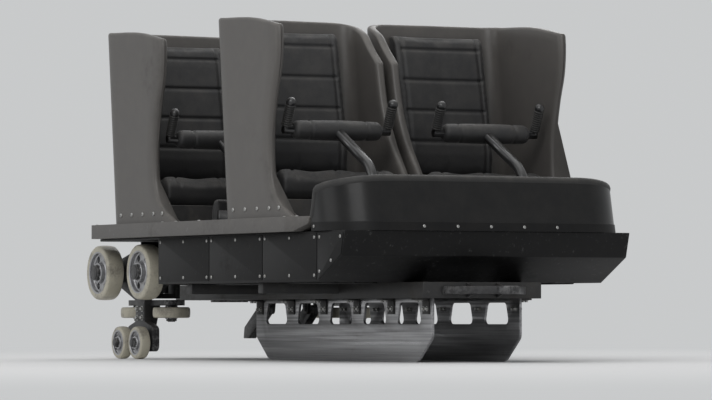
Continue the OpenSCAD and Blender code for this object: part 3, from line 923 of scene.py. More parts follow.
class Store:
    """Holds the solids and the built finishes, and dresses pieces with them."""

    def __init__(self, nodes: dict[str, Piece]) -> None:
        """Takes the frame's nodes and builds every finish.

        Args:
            nodes: the CAD nodes by name.
        """
        self.nodes = nodes
        effects = Effects()
        self.made = {paint: paint.value.make(effects) for paint in Paint}

    def dress(self, piece: Piece, paint: Paint, slot: str, body: str = "car_body") -> None:
        """Gives a piece its finish and its body.

        Args:
            piece: the piece.
            paint: its finish.
            slot: not used.
            body: the CAD body that it rides on.
        """
        piece.data.materials.clear()
        piece.data.materials.append(self.made[paint])
        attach(piece, body)
        LOG.info("%s rides on %s", piece.name, body)

    def solid(
        self, node: str, name: str, edge: float, paint: Paint, slot: str, body: str = "car_body",
    ) -> None:
        """Puts a dressed copy of a solid in its place, with merged faces and rounded edges.

        Args:
            node: the CAD node.
            name: the new piece's name.
            edge: width of the rounding in metres; 0 keeps every facet of bent tubes.
            paint: its finish.
            slot: the record's material slot.
            body: the CAD body that it rides on.
        """
        source = self.nodes[node]
        mesh = source.data.copy()
        mesh.materials.clear()
        piece = bpy.data.objects.new(name, mesh)
        piece.data.transform(source.matrix_world)
        bpy.context.scene.collection.objects.link(piece)
        open_mesh(piece)
        if edge > 0:
            bpy.ops.mesh.remove_doubles(threshold=MERGE)
            bpy.ops.mesh.dissolve_limited(angle_limit=math.radians(1.0))
            close_mesh()
            round_edges(piece, edge)
        else:
            bpy.ops.mesh.remove_doubles(threshold=FINE_MERGE)
            close_mesh()
            smooth(piece)
        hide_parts(node)
        self.dress(piece, paint, slot, body)

    def pair(self, seed: Piece, label: str, paint: Paint, slot: str) -> None:
        """Dresses a right-hand piece and its mirror image, and drops the seed.

        Args:
            seed: the right-hand piece.
            label: the start of both names.
            paint: their finish.
            slot: the record's material slot.
        """
        for side, turn in SIDES:
            self.dress(copy_of(seed, f"{label}_{side}", turn), paint, slot)
        discard(seed)

    def seats(self, car: Car, parts: Sequence[SeatPart]) -> None:
        """Dresses a copy of each part at each of the four seats, and drops the seeds.

        Args:
            car: the car's places.
            parts: the pieces of a seat.
        """
        for seat, put in car.seats():
            for part in parts:
                piece = copy_of(part.seed, f"{part.label}_{seat}", put)
                body = f"lap_bar_{seat}_body" if part.on_bar else "car_body"
                if part.node:
                    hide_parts(f"{part.node}_{seat}")
                self.dress(piece, part.paint, part.slot, body)
        discard(*(part.seed for part in parts))


# Body


@dataclass(frozen=True)
class WallLoft:
    """A wall that runs round three sides of a U and follows tables, with rolled edges.

    Stations along the U go from 0, the tip of its outer wing, to 18, the tip of its inner wing.
    """

    width: float
    height: float
    wall: float
    corner: float
    back: Table
    outer: Table
    inner: Table
    tops: Table
    rim: float = 0.012

    OUTER_CORNER = 3
    BACK = 8
    INNER_CORNER = 10
    INNER_WING = 15
    TIP = 18
    CORNER_STEP = 18
    WING = ((0, 1.0), (1, 0.6), (2, 0.25), (3, 0.0))

    def outline(self, station: float, level: float, inset: float) -> Pair:
        """A point of the U.

        Args:
            station: its place along the U.
            level: its share of the full height.
            inset: how far it lies inside the outer face.

        Returns:
            Its distance from the back and from the outer edge.
        """
        back = lookup(level, self.back)
        r = self.corner
        k = r - inset
        if station <= self.OUTER_CORNER:
            share = lookup(station, self.WING)
            return back + r + (lookup(level, self.outer) - r) * share, inset
        if station <= self.BACK:
            a = math.radians(270 - self.CORNER_STEP * (station - self.OUTER_CORNER))
            return back + r + k * math.cos(a), r + k * math.sin(a)
        if station < self.INNER_CORNER:
            share = (station - self.BACK) / (self.INNER_CORNER - self.BACK)
            return back + inset, r + (self.width - 2 * r) * share
        if station <= self.INNER_WING:
            a = math.radians(180 - self.CORNER_STEP * (station - self.INNER_CORNER))
            return back + r + k * math.cos(a), self.width - r + k * math.sin(a)
        share = lookup(self.TIP - station, self.WING)
        return back + r + (lookup(level, self.inner) - r) * share, self.width - inset

    def stations(self) -> list[Pair]:
        """Stations along the U, each with the share of the wall's thickness that it keeps.

        Returns:
            Pairs of a station and its share.
        """
        pitch, outer_nose, inner_nose = 0.45, 0.13, 0.19
        nose = [(math.sin(math.radians(a)), math.cos(math.radians(a))) for a in (84, 60, 35, 0)]
        start = [(outer_nose * (1 - s), c) for s, c in nose]
        middle = [(pitch + pitch * i, 1.0) for i in range(39)]
        return start + middle + [(self.TIP - inner_nose * (1 - s), c) for s, c in reversed(nose)]

    def section(self, top: float) -> list[Pair]:
        """Height and inset of the points round the wall's section.

        Args:
            top: the wall's height there.

        Returns:
            Pairs of a height and an inset.
        """
        rim, rows = self.rim, 22
        rise = [(i / rows) ** 0.92 * (top - rim) for i in range(rows + 1)]
        arc = [math.radians(a) for a in (18, 36, 54, 72, 90)]
        up = [(top - rim + rim * math.sin(a), rim - rim * math.cos(a)) for a in arc]
        down = [(z, self.wall - inset) for z, inset in reversed(up)]
        return [(z, 0.0) for z in rise] + up + down + [(z, self.wall) for z in reversed(rise)] + [(0.0, 0.0)]

    def build(self, name: str, place: Callable[[float, float, float], Point]) -> Piece:
        """Lays a grid along the wall and closes it.

        Args:
            name: the piece's name.
            place: turns a point of the wall into its place on the car.

        Returns:
            The closed wall.
        """
        stations = self.stations()
        rows = len(self.section(1.0))
        deselect()
        bpy.ops.mesh.primitive_grid_add(x_subdivisions=rows - 1, y_subdivisions=len(stations) - 1, size=1.0)
        piece = named(name)
        for i, (station, share) in enumerate(stations):
            top = min(lookup(station, self.tops), 1.0) * self.height
            for j, (z, inset) in enumerate(self.section(top)):
                kept = self.wall / 2 + (inset - self.wall / 2) * share
                x, y = self.outline(station, z / self.height, kept)
                piece.data.vertices[i * rows + j].co = place(x, y, z)
        open_mesh(piece)
        bpy.ops.mesh.remove_doubles(threshold=MERGE)
        bpy.ops.mesh.select_all(action="SELECT")
        bpy.ops.mesh.fill_holes(sides=0)
        close_mesh()
        settle(piece)
        smooth(piece, WALL_ANGLE)
        return piece


SHELL = WallLoft(
    width=0.610, height=0.770, wall=0.035, corner=0.095, back=((0, 0.080), (1, 0.0)),
    outer=(
        (0, 0.610), (0.035, 0.545), (0.09, 0.478), (0.18, 0.445), (0.3, 0.440), (0.45, 0.455),
        (0.6, 0.492), (0.73, 0.535), (0.86, 0.555), (0.95, 0.552), (1, 0.530),
    ),
    inner=((0, 0.480), (0.2, 0.420), (0.4, 0.320), (0.6, 0.270), (1, 0.240)),
    tops=(
        (0, 0.93), (1, 0.975), (2, 0.99), (5, 1.0), (9, 1.0), (13, 0.985), (16, 0.94), (17, 0.86), (18, 0.78),
    ),
)
COWL = WallLoft(
    width=1.224, height=0.200, wall=0.030, corner=0.190, back=((0, 0.0), (1, 0.045)),
    outer=((0, 0.256), (1, 0.211)), inner=((0, 0.256), (1, 0.211)),
    tops=((0, 0.3), (1, 0.55), (2, 0.75), (6, 0.95), (9, 1.0), (12, 0.95), (16, 0.75), (17, 0.55), (18, 0.3)),
)
STRIP_PROUD = 0.0025
COWL_STRIP = WallLoft(
    width=COWL.width + 2 * STRIP_PROUD, height=0.032, wall=0.004, corner=COWL.corner + STRIP_PROUD,
    back=((0, 0.0), (1, 0.0072)), outer=((0, 0.252), (1, 0.245)), inner=((0, 0.252), (1, 0.245)),
    tops=((0, 1.0), (18, 1.0)), rim=0.0012,
)


@dataclass
class SeatShells:
    """Four bucket shells with their screws."""

    store: Store
    car: Car
    screw_radius: float = 0.0085
    screw_rise: float = 0.035
    side_screws: tuple[float, ...] = (0.20, 0.30, 0.40, 0.50, 0.58)
    back_screws: tuple[float, ...] = (0.13, 0.24, 0.37, 0.48)
    back_face: float = 0.0765
    back_way: Point = (-1, 0, -0.1)

    def build(self) -> None:
        """Builds the rear right-hand shell and its screws, and copies them to the four seats."""
        row, sill = self.car.rear_row, self.car.sill_z
        outer, inner = self.car.seat_y + SHELL.width / 2, self.car.seat_y - SHELL.width / 2
        shell = SHELL.build("shell_seed", lambda x, y, z: (row + x, y - outer, sill + z))
        z = sill + self.screw_rise
        heads = [aimed((row + x, -outer, z), RIGHT) for x in self.side_screws]
        heads += [aimed((row + self.back_face, -inner - y, z), self.back_way) for y in self.back_screws]
        bolts = scattered("shell_bolts_seed", button_seed("shell_screw", self.screw_radius), heads)
        self.store.seats(self.car, [
            SeatPart("shell", shell, Paint.SHELL, "grey_shell", "seat_shell"),
            SeatPart("shell_bolts", bolts, Paint.ZINC, "grey_shell"),
        ])


@dataclass(frozen=True)
class Stuffing:
    """How a padded form is remeshed and swollen as cloth, and how full it is."""

    voxel: float
    pressure: float
    cap: float
    frames: int
    fill: float

    def swell(self, piece: Piece) -> None:
        """Remeshes a closed form and swells it under pressure; no point moves further than the cap.

        Args:
            piece: the form, a little smaller than the finished one.
        """
        modify(piece, "REMESH", mode="VOXEL", voxel_size=self.voxel)
        modify(piece, "SMOOTH", factor=0.5, iterations=4)
        self.simulate(piece)
        modify(piece, "SMOOTH", factor=0.4, iterations=2)
        smooth(piece, SOFT_ANGLE)

    def simulate(self, piece: Piece) -> None:
        """Runs the cloth and applies what it gives.

        Args:
            piece: the remeshed form.
        """
        start = [v.co.copy() for v in piece.data.vertices]
        pick(piece)
        cloth = piece.modifiers.new("Cloth", "CLOTH")
        cloth.settings.quality = 5
        cloth.settings.mass = 0.3
        cloth.settings.tension_stiffness = 25
        cloth.settings.compression_stiffness = 25
        cloth.settings.use_pressure = True
        cloth.settings.uniform_pressure_force = self.pressure
        cloth.settings.effector_weights.gravity = 0.0
        cloth.point_cache.frame_start = 1
        cloth.point_cache.frame_end = self.frames
        for frame in range(1, self.frames + 1):
            bpy.context.scene.frame_set(frame)
        bpy.ops.object.modifier_apply(modifier=cloth.name)
        for vertex, old in zip(piece.data.vertices, start):
            moved = vertex.co - old
            if moved.length > self.cap:
                vertex.co = old + moved.normalized() * self.cap
        bpy.context.scene.frame_set(1)


@dataclass
class SeatCushions:
    """The base and back cushion of each seat, swollen as cloth and sewn into channels.

    The profiles are smaller than the finished cushions by what these swell.
    """

    store: Store
    car: Car
    base_stuffing: Stuffing = Stuffing(voxel=0.006, pressure=5.0, cap=0.008, frames=18, fill=0.85)
    back_stuffing: Stuffing = Stuffing(voxel=0.006, pressure=5.0, cap=0.007, frames=18, fill=0.75)
    edge: float = 0.012
    base_edges: Pair = (-0.570, -0.070)
    base_profile: Outline = (
        (0.148, -0.098), (0.497, -0.098), (0.510, -0.072), (0.512, -0.020), (0.492, -0.002), (0.457, 0.008),
        (0.400, -0.002), (0.148, -0.016),
    )
    base_face: float = 0.045
    thigh_channel: float = 0.100
    channel_width: float = 0.065
    channel_depth: float = 0.009
    back_edges: Pair = (-0.522, -0.118)
    back_low: float = 0.177
    back_high: float = 0.728
    back_profile: Outline = (
        (0.177, 0.112), (0.26, 0.126), (0.36, 0.126), (0.50, 0.112), (0.64, 0.096), (0.708, 0.084),
    )
    back_foot: Pair = (0.036, 0.105)
    back_head: Pair = (0.070, 0.036)
    back_step: float = 0.002
    back_face: float = 0.05
    shell_face: float = 0.0355
    side_seam: float = 0.186
    back_seam_in: float = 0.02
    back_middle_in: float = 0.01
    back_seams: tuple[float, ...] = (0.31, 0.43, 0.55, 0.67)
    seam_width: float = 0.006
    seam_depth: float = 0.007
    middle_seam_width: float = 0.007
    middle_seam_depth: float = 0.005
    bolster_depth: float = 0.012
    bolster_half: float = 0.15
    bolster_curve: float = 0.7
    fade: float = 0.03

    def lean(self, z: float) -> float:
        """How far the shell's back stands ahead of its top at a height above the sill."""
        return SHELL.back[0][1] * (1 - z / SHELL.height)

    def base(self) -> Piece:
        """The base cushion: two shallow thigh channels, a front roll and side seams.

        Returns:
            The seed.
        """
        outline = [(self.car.rear_row + x, self.car.seat_z + z) for x, z in self.base_profile]
        piece = plate("cushion_seed", outline, *self.base_edges, self.edge)
        self.base_stuffing.swell(piece)
        top = self.car.seat_z - self.base_face
        for vertex in piece.data.vertices:
            y = vertex.co.y + self.car.seat_y
            if vertex.co.z > top:
                rise = min((vertex.co.z - top) / self.fade, 1.0)
                hollow = groove(abs(y), self.thigh_channel, self.channel_width) * self.channel_depth
                seams = groove(abs(y), self.side_seam, self.seam_width) * self.seam_depth
                seams += groove(y, 0.0, self.middle_seam_width) * self.middle_seam_depth
                vertex.co.z -= rise * (hollow + seams)
        return piece

    def rest(self) -> Piece:
        """The back cushion: sewn across into channels between two side bolsters.

        Returns:
            The seed.
        """
        x, z, low, high = self.car.rear_row, self.car.sill_z, self.back_low, self.back_high
        outline = [(x + self.lean(low) + depth, z + low) for depth in self.back_foot]
        outline += [(x + self.lean(h) + depth, z + h) for h, depth in self.back_profile]
        outline += [(x + self.lean(high) + depth, z + high - self.back_step) for depth in self.back_head]
        piece = plate("rest_seed", outline, *self.back_edges, self.edge)
        self.back_stuffing.swell(piece)
        for vertex in piece.data.vertices:
            y = vertex.co.y + self.car.seat_y
            h = vertex.co.z - z
            depth = vertex.co.x - (x + self.lean(h))
            if depth > self.back_face:
                rise = min((depth - self.back_face) / self.fade, 1.0)
                middle = 1.0 if abs(y) < self.side_seam - self.back_middle_in else 0.0
                seams = sum(groove(h, s, self.seam_width) for s in self.back_seams) * middle
                side = groove(abs(y), self.side_seam - self.back_seam_in, self.seam_width)
                bolster = max(0.0, 1.0 - abs(y) / self.bolster_half) ** self.bolster_curve
                vertex.co.x -= rise * ((seams + side) * self.seam_depth + self.bolster_depth * bolster)
            vertex.co.x = max(vertex.co.x, x + self.lean(h) + self.shell_face)
        return piece

    def build(self) -> None:
        """Builds one pair and copies it to the four seats."""
        self.store.seats(self.car, [
            SeatPart(label, seed, Paint.FOAM, "black_foam", "seat_pad", fill=stuffing.fill)
            for label, seed, stuffing in (
                ("cushion", self.base(), self.base_stuffing), ("rest", self.rest(), self.back_stuffing),
            )
        ])


@dataclass
class Tub:
    """The black tub, its cowl, sills and seat stands, with mats, trim and screws."""

    store: Store
    car: Car
    skirt_joints: tuple[float, ...] = (-0.512, -0.060, 0.392, 0.832)
    skirt_gap: float = 0.005
    skirt_low: float = 0.303
    skirt_high: float = 0.474
    skirt_depth: float = 0.0025
    skirt_lap: float = 0.001
    nose_foot: float = 0.842
    nose_knee: Pair = (1.015, 0.393)
    nose_tip: float = 1.034
    nose_screw_low: float = 0.030
    nose_screw_ahead: float = 1.012
    knee_screw: Pair = (0.94, 0.372)
    screw_radius: float = 0.0065
    screw_ahead: float = 0.018
    screw_up: float = 0.016
    sill_screws: tuple[float, ...] = (-1.03, -0.42, -0.30, -0.10, 0.62, 0.72)
    sill_screw_in: float = 0.022
    lip_start: float = 0.12
    lip_drop: float = 0.014
    lip_proud: float = 0.0045
    strip_gap: float = 0.0005
    strip_lean: float = 0.0036
    strip_way: Point = (1, 0, 0.22)
    strip_screw_pitch: float = 0.14
    strip_screw_rise: float = 0.0165
    strip_side_x: float = 0.828
    bead_spans: Outline = ((-0.262, 0.272), (0.348, 0.790))
    bead_rows: tuple[float, ...] = (-0.50, -0.42, -0.34)
    mats: tuple[tuple[str, float, float], ...] = (
        ("mat_rear", -0.500, -0.334), ("mat_middle", -0.166, 0.082), ("mat_front", 0.512, 0.666),
    )
    mat_half: float = 0.54
    mat_margin: float = 0.010
    mat_levels: Pair = (0.0003, 0.003)
    rib_levels: Pair = (0.0028, 0.0058)
    rib_pitch: float = 0.014
    rib_width: float = 0.006

    def panels(self) -> None:
        """The pressed panels, with small rounded edges, and the cowl."""
        for node, paint, slot, edge in (
            ("tub", Paint.PANEL, "black_panel", 0.003),
            ("sill_left", Paint.SILL, "grey_steel", 0.005),
            ("sill_right", Paint.SILL, "grey_steel", 0.005),
            ("seat_base_rear", Paint.FRAME, "black_steel", 0.003),
            ("seat_base_front", Paint.FRAME, "black_steel", 0.003),
        ):
            self.store.solid(node, f"{node}_panel", edge, paint, slot)
        car = self.car
        wall = COWL.build("cowl_panel", lambda x, y, z: (car.cowl_x - x, y - car.cowl_half, car.deck_z + z))
        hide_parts("front_cowl")
        self.store.dress(wall, Paint.COWL, "black_panel")

    def skirts(self) -> None:
        """Thin skirt panels over the side walls, with a gap at each joint and screws round their edges."""
        low, high, half = self.skirt_low, self.skirt_high, self.car.tub_half
        panels, spots = [], []
        for i, (start, joint) in enumerate(zip(self.skirt_joints, self.skirt_joints[1:])):
            stop = joint - self.skirt_gap
            corners = ((start, low), (stop, low), (stop, high), (start, high))
            panels.append((f"skirt_{i}", rounded(corners, radius=0.010)))
            columns = (start + self.screw_ahead, (start + stop) / 2, stop - self.screw_ahead)
            spots += [(x, z) for x in columns for z in (low + self.screw_up, high - self.screw_up)]
        start = self.skirt_joints[-1]
        nose = ((start, low), (self.nose_foot, low), self.nose_knee, (self.nose_tip, high), (start, high))
        panels.append(("skirt_nose", rounded(nose, radius=0.006)))
        x, top = start + self.screw_ahead, high - self.screw_up
        spots += [(x, top), (x, low + self.nose_screw_low), (self.nose_screw_ahead, top), self.knee_screw]
        face = -half - self.skirt_depth
        plates = [plate(name, outline, face, self.skirt_lap - half, edge=0.001) for name, outline in panels]
        self.store.pair(joined("skirt_seed", plates), "skirt", Paint.PANEL, "black_panel")
        y = self.sill_screw_in - self.car.half_width
        for label, slot, places in (
            ("skirt_screws", "black_panel", [aimed((x, face, z), RIGHT) for x, z in spots]),
            ("sill_screws", "grey_steel", [aimed((x, y, self.car.sill_z), UP) for x in self.sill_screws]),
        ):
            heads = scattered(f"{label}_seed", button_seed("tub_screw", self.screw_radius), places)
            self.store.pair(heads, label, Paint.ZINC, slot)

    def cowl_trim(self) -> None:
        """A rubber lip round the cowl's rim, and a screwed strip round its foot."""
        front, deck, points = self.car.cowl_x, self.car.deck_z, 73
        path = []
        for i in range(points):
            station = self.lip_start + (COWL.TIP - 2 * self.lip_start) * i / (points - 1)
            top = lookup(station, COWL.tops) * COWL.height
            x, y = COWL.outline(station, top / COWL.height, COWL.wall / 2)
            path.append((front - x, y - COWL.width / 2, deck + top - self.lip_drop))
        lip = pipe("cowl_lip", path, COWL.wall / 2 + self.lip_proud, sides=5)
        self.store.dress(lip, Paint.GRIP, "black_foam")
        edge, face, foot = COWL_STRIP.width / 2, front + STRIP_PROUD, deck + self.strip_gap
        band = COWL_STRIP.build("cowl_strip", lambda x, y, z: (face - x, y - edge, foot + z))
        self.store.dress(band, Paint.PANEL, "black_panel")
        screw = button_seed("cowl_screw", radius=0.006)
        x, z, pitch = face - self.strip_lean, deck + self.strip_screw_rise, self.strip_screw_pitch
        places = [aimed((x, pitch * i, z), self.strip_way) for i in range(-2, 3)]
        places += [aimed((self.strip_side_x, s * edge, z), (0, s, 0)) for s in (-1, 1)]
        self.store.dress(scattered("cowl_screws", screw, places), Paint.ZINC, "black_panel")

    def beads(self) -> None:
        """Pressed stiffening beads under the floor."""
        half, depth, lap, z = 0.010, 0.005, 0.001, self.car.frame_z
        bars = [
            block(f"bead_{low}_{y}", (low, y - half, z - depth), (high, y + half, z + lap), edge=0.004)
            for low, high in self.bead_spans for y in self.bead_rows
        ]
        self.store.pair(joined("floor_beads_seed", bars), "floor_beads", Paint.PANEL, "black_panel")

    def lay_mats(self) -> None:
        """Ribbed rubber mats where the riders stand."""
        floor, half, rib = self.car.floor_z, self.mat_half, self.mat_half - self.mat_margin
        (under, top), (foot, crest) = self.mat_levels, self.rib_levels
        for name, low, high in self.mats:
            foil = (low, -half, floor + under), (high, half, floor + top)
            ribs = [block(f"{name}_base", *foil, edge=0.0008)]
            for i in range(int((high - low - self.mat_margin) / self.rib_pitch)):
                x = low + self.mat_margin + self.rib_pitch * i
                corner = (x + self.rib_width, rib, floor + crest)
                ribs.append(block(f"{name}_{i}", (x, -rib, floor + foot), corner, edge=0.001))
            self.store.dress(joined(name, ribs), Paint.MAT, "black_foam")

    def build(self) -> None:
        """Builds panels, trim and mats."""
        self.panels()
        self.skirts()
        self.cowl_trim()
        self.beads()
        self.lay_mats()


# Restraints


@dataclass
class LapBars:
    """Bars, grips, pads and pivot hardware of the four seats."""

    store: Store
    car: Car
    rise: float = 0.265
    bend: float = 0.140
    turn: float = math.radians(62)
    reach: float = 0.260
    bar_radius: float = 0.020
    pad_length: float = 0.380
    pad_radius: float = 0.042
    pad_swell: float = 0.007
    bore_share: float = 0.8
    bore_gap: float = 0.0004
    bore_wall: float = 0.006
    end_step: float = 0.003
    end_shares: Pair = (0.55, 0.45)
    seam_at: float = 0.62
    seam_depth: float = 0.004
    seam_width: float = 0.005
    shoulder: float = 0.86
    shoulder_curve: float = 2.4
    crown: float = 0.0035
    thigh_stuffing: Stuffing = Stuffing(voxel=0.005, pressure=4.0, cap=0.004, frames=14, fill=0.9)
    shin_stuffing: Stuffing = Stuffing(voxel=0.005, pressure=4.0, cap=0.004, frames=12, fill=0.9)
    shin_face: float = 0.0143
    shin_profile: Outline = (
        (-0.0145, 0.098), (-0.0145, 0.272), (-0.040, 0.264), (-0.054, 0.225), (-0.057, 0.185),
        (-0.053, 0.145), (-0.040, 0.108),
    )
    shin_edges: Pair = (0.037, 0.153)
    shin_front: float = 0.03
    shin_seam: float = 0.185
    shin_seam_width: float = 0.006
    shin_crown: float = 0.002
    shin_seam_depth: float = 0.003
    grip_tilt: float = math.radians(25)
    grip_out: float = 0.025
    lug_face: float = 0.0535
    foot_t: float = 0.008
    foot_bolt_x: float = 0.052
    foot_bolt_y: float = 0.06

    def cross_rod(self) -> Vector:
        """The middle of the cross rod at the end of the rear right-hand bar's sloping arm.

        Returns:
            Its place.
        """
        x = -self.bend + self.bend * math.cos(self.turn) - self.reach * math.sin(self.turn)
        z = self.rise + self.bend * math.sin(self.turn) + self.reach * math.cos(self.turn)
        return Vector(self.car.pivot) + Vector((x, 0, z))

    def thigh_pad(self) -> Piece:
        """A full, crowned roll on the cross rod, swollen as cloth, with a seam near each end.

        Returns:
            The seed.
        """
        half, points, (end, more) = self.pad_length / 2, 33, self.end_shares
        bore = self.bar_radius * self.bore_share + self.bore_gap
        profile = [(bore, -half + self.bore_wall)]
        for i in range(points):
            s = -1 + 2 * i / (points - 1)
            edge = 1 - max(0.0, (abs(s) - self.shoulder) / (1 - self.shoulder)) ** self.shoulder_curve
            full = (self.pad_radius - self.pad_swell) * (end + more * max(edge, 0.0) ** 0.5)
            profile.append((full + self.crown * (1 - s * s), s * (half - self.end_step)))
        profile.append((bore, half - self.bore_wall))
        piece = lathe("thigh_pad_seed", profile, steps=44)
        self.thigh_stuffing.swell(piece)
        for vertex in piece.data.vertices:
            radius = math.hypot(vertex.co.x, vertex.co.y)
            wanted = bore if radius < bore + self.bore_wall else radius
            if radius > self.bar_radius:
                wanted -= self.seam_depth * groove(abs(vertex.co.z), half * self.seam_at, self.seam_width)
            vertex.co.x *= wanted / radius
            vertex.co.y *= wanted / radius
            vertex.co.z = max(-half, min(half, vertex.co.z))
        piece.data.transform(aimed(self.cross_rod(), (0, 1, 0)))
        smooth(piece, PAD_ANGLE)
        return piece

    def shin_pad(self, sign: int) -> Piece:
        """A domed pad on one end of the cross plate of the upright.

        Args:
            sign: -1 for the outer end, 1 for the inner.

        Returns:
            The seed.
        """
        px, py, pz = Vector(self.car.pivot)
        low, high = sorted(sign * y for y in self.shin_edges)
        outline = [(px + x, pz + z) for x, z in self.shin_profile]
        piece = plate(f"shin_pad_seed_{sign}", outline, py + low, py + high, edge=0.008)
        self.shin_stuffing.swell(piece)
        for vertex in piece.data.vertices:
            y = (vertex.co.y - py - (low + high) / 2) / ((high - low) / 2)
            if vertex.co.x < px - self.shin_front:
                vertex.co.x -= self.shin_crown * max(1 - y * y, 0.0)
                seam = groove(vertex.co.z, pz + self.shin_seam, self.shin_seam_width)
                vertex.co.x += self.shin_seam_depth * seam
            vertex.co.x = min(vertex.co.x, px - self.shin_face)
        return piece

    def grips(self) -> Piece:
        """Ribbed rubber sleeves on the two handles.

        Returns:
            The seed.
        """
        bore, valley, crest = 0.0155, 0.0178, 0.0196
        low, first, pitch, ribs, high = 0.014, 0.016, 0.0085, 10, 0.104
        profile = [(bore, low)]
        for i in range(ribs):
            h = first + pitch * i
            profile += [(valley, h), (crest, h + 0.002), (crest, h + 0.005), (valley, h + 0.007)]
        profile.append((bore, high))
        sleeve = lathe("grip_seed", profile, steps=24)
        way = (math.sin(self.grip_tilt), 0, math.cos(self.grip_tilt))
        out = self.pad_length / 2 + self.grip_out
        return scattered("grips_seed", sleeve, [
            aimed(self.cross_rod() + Vector((0, s * out, 0)), way) for s in (-1, 1)
        ])

    def pivots(self) -> tuple[Piece, Piece]:
        """Pin ends with washers on the lugs, and the bolts of the foot plate.

        Returns:
            The two seeds.
        """
        x, y, z = Vector(self.car.pivot)
        top, bolt_x, bolt_y = self.car.floor_z + self.foot_t, self.foot_bolt_x, self.foot_bolt_y
        pins = scattered("pivot_nuts_seed", bolt_seed("pivot_nut", radius=0.013, height=0.012), [
            aimed((x, y + s * self.lug_face, z), (0, s, 0)) for s in (-1, 1)
        ])
        feet = scattered("foot_bolts_seed", bolt_seed("foot_bolt", radius=0.008, height=0.007), [
            aimed((x + a, y + b, top), UP) for a in (-bolt_x, bolt_x) for b in (-bolt_y, 0.0, bolt_y)
        ])
        return pins, feet

    def build(self) -> None:
        """Dresses the four bars, their pads and hardware, and the two stands."""
        for seat, _ in self.car.seats():
            self.store.solid(
                f"lap_bar_{seat}", f"bar_{seat}", 0.0, Paint.BAR, "bar_paint", f"lap_bar_{seat}_body",
            )
        for row in ("rear", "front"):
            self.store.solid(f"bar_pedestal_{row}", f"bar_stand_{row}", 0.0015, Paint.FRAME, "black_steel")
        pins, feet = self.pivots()
        pads = [
            SeatPart(label, seed, Paint.FOAM, "black_foam", "lap_pad", True, stuffing.fill)
            for label, seed, stuffing in (
                ("thigh_pad", self.thigh_pad(), self.thigh_stuffing),
                ("shin_pad_outer", self.shin_pad(-1), self.shin_stuffing),
                ("shin_pad_inner", self.shin_pad(1), self.shin_stuffing),
            )
        ]
        self.store.seats(self.car, [
            *pads, SeatPart("bar_grips", self.grips(), Paint.GRIP, "black_foam", on_bar=True),
            SeatPart("pivot_nuts", pins, Paint.ZINC, "black_steel"),
            SeatPart("foot_bolts", feet, Paint.ZINC, "black_steel"),
        ])


# Running gear


@dataclass(frozen=True)
class WheelKind:
    """One kind of wheel: its bore, the radius of its boss, its windows and the way its face looks."""

    label: str
    bore: float
    boss: float
    holes: int
    way: Point

    TREAD_SHARE = 0.24
    WEB_SHARE = 0.42
    WINDOW_SHARE = 0.3
    RING_SHARE = 0.45
    HEAD_SHARE = 0.995
    STEPS = 56

    def halves(self) -> Pair:
        """The wheel's radius and half its width, from its solid.

        Returns:
            The two halves.
        """
        low, high = solid_box(f"{self.label}_right_front")
        spans = sorted(round(b - a, 4) for a, b in zip(low, high))
        return spans[-1] / 2, spans[0] / 2

    def tread(self) -> Piece:
        """The cast tread: crowned, with rounded shoulders and a bonded edge.

        Returns:
            The seed.
        """
        r, h = self.halves()
        rim = r - r * self.TREAD_SHARE
        side = [
            (rim + 0.001, h * 0.90), (rim + 0.004, h * 0.93), (r - 0.011, h * 0.94), (r - 0.006, h * 0.90),
            (r - 0.0025, h * 0.80), (r - 0.0010, h * 0.62), (r - 0.0002, h * 0.3),
        ]
        profile = side + [(r, 0.0)] + [(a, -b) for a, b in reversed(side)]
        return lathe(f"{self.label}_tread_seed", profile, self.STEPS)

    def hub(self) -> Piece:
        """The turned hub: bearing boss, dished web with windows, rim and screws.

        Returns:
            The seed.
        """
        r, h = self.halves()
        rim, web, boss = r - r * self.TREAD_SHARE, h * self.WEB_SHARE, self.boss
        side = [
            (self.bore + 0.0002, h * 0.98), (self.bore + 0.004, h), (boss - 0.002, h), (boss, h * 0.94),
            (boss + 0.002, web + 0.003), (boss + 0.006, web), (rim - 0.009, web), (rim - 0.0055, web + 0.003),
            (rim - 0.005, h * 0.86), (rim - 0.003, h * 0.92), (rim + 0.0012, h * 0.92),
        ]
        profile = side + [(a, -b) for a, b in reversed(side)]
        piece = lathe(f"{self.label}_hub_seed", profile, self.STEPS)
        middle = (boss + rim) / 2
        for i in range(self.holes):
            a = math.tau * i / self.holes
            bpy.ops.mesh.primitive_cylinder_add(
                vertices=20, radius=(rim - boss) * self.WINDOW_SHARE, depth=2 * h,
                location=(middle * math.cos(a), middle * math.sin(a), 0),
            )
            cutter = named("web_hole")
            modify(piece, "BOOLEAN", operation="DIFFERENCE", solver="EXACT", object=cutter)
            discard(cutter)
        screw = button_seed("hub_screw", 0.0032 + r * 0.012)
        ring = boss - (boss - self.bore) * self.RING_SHARE
        turns = [math.tau * (i + 0.5) / self.holes for i in range(self.holes)]
        spots = [(ring * math.cos(a), ring * math.sin(a)) for a in turns]
        heads = scattered("hub_screws", screw, [
            aimed((x, y, s * h * self.HEAD_SHARE), (0, 0, s)) for x, y in spots for s in (-1, 1)
        ])
        piece = joined(piece.name, [piece, heads])
        smooth(piece, SHARP_ANGLE)
        return piece


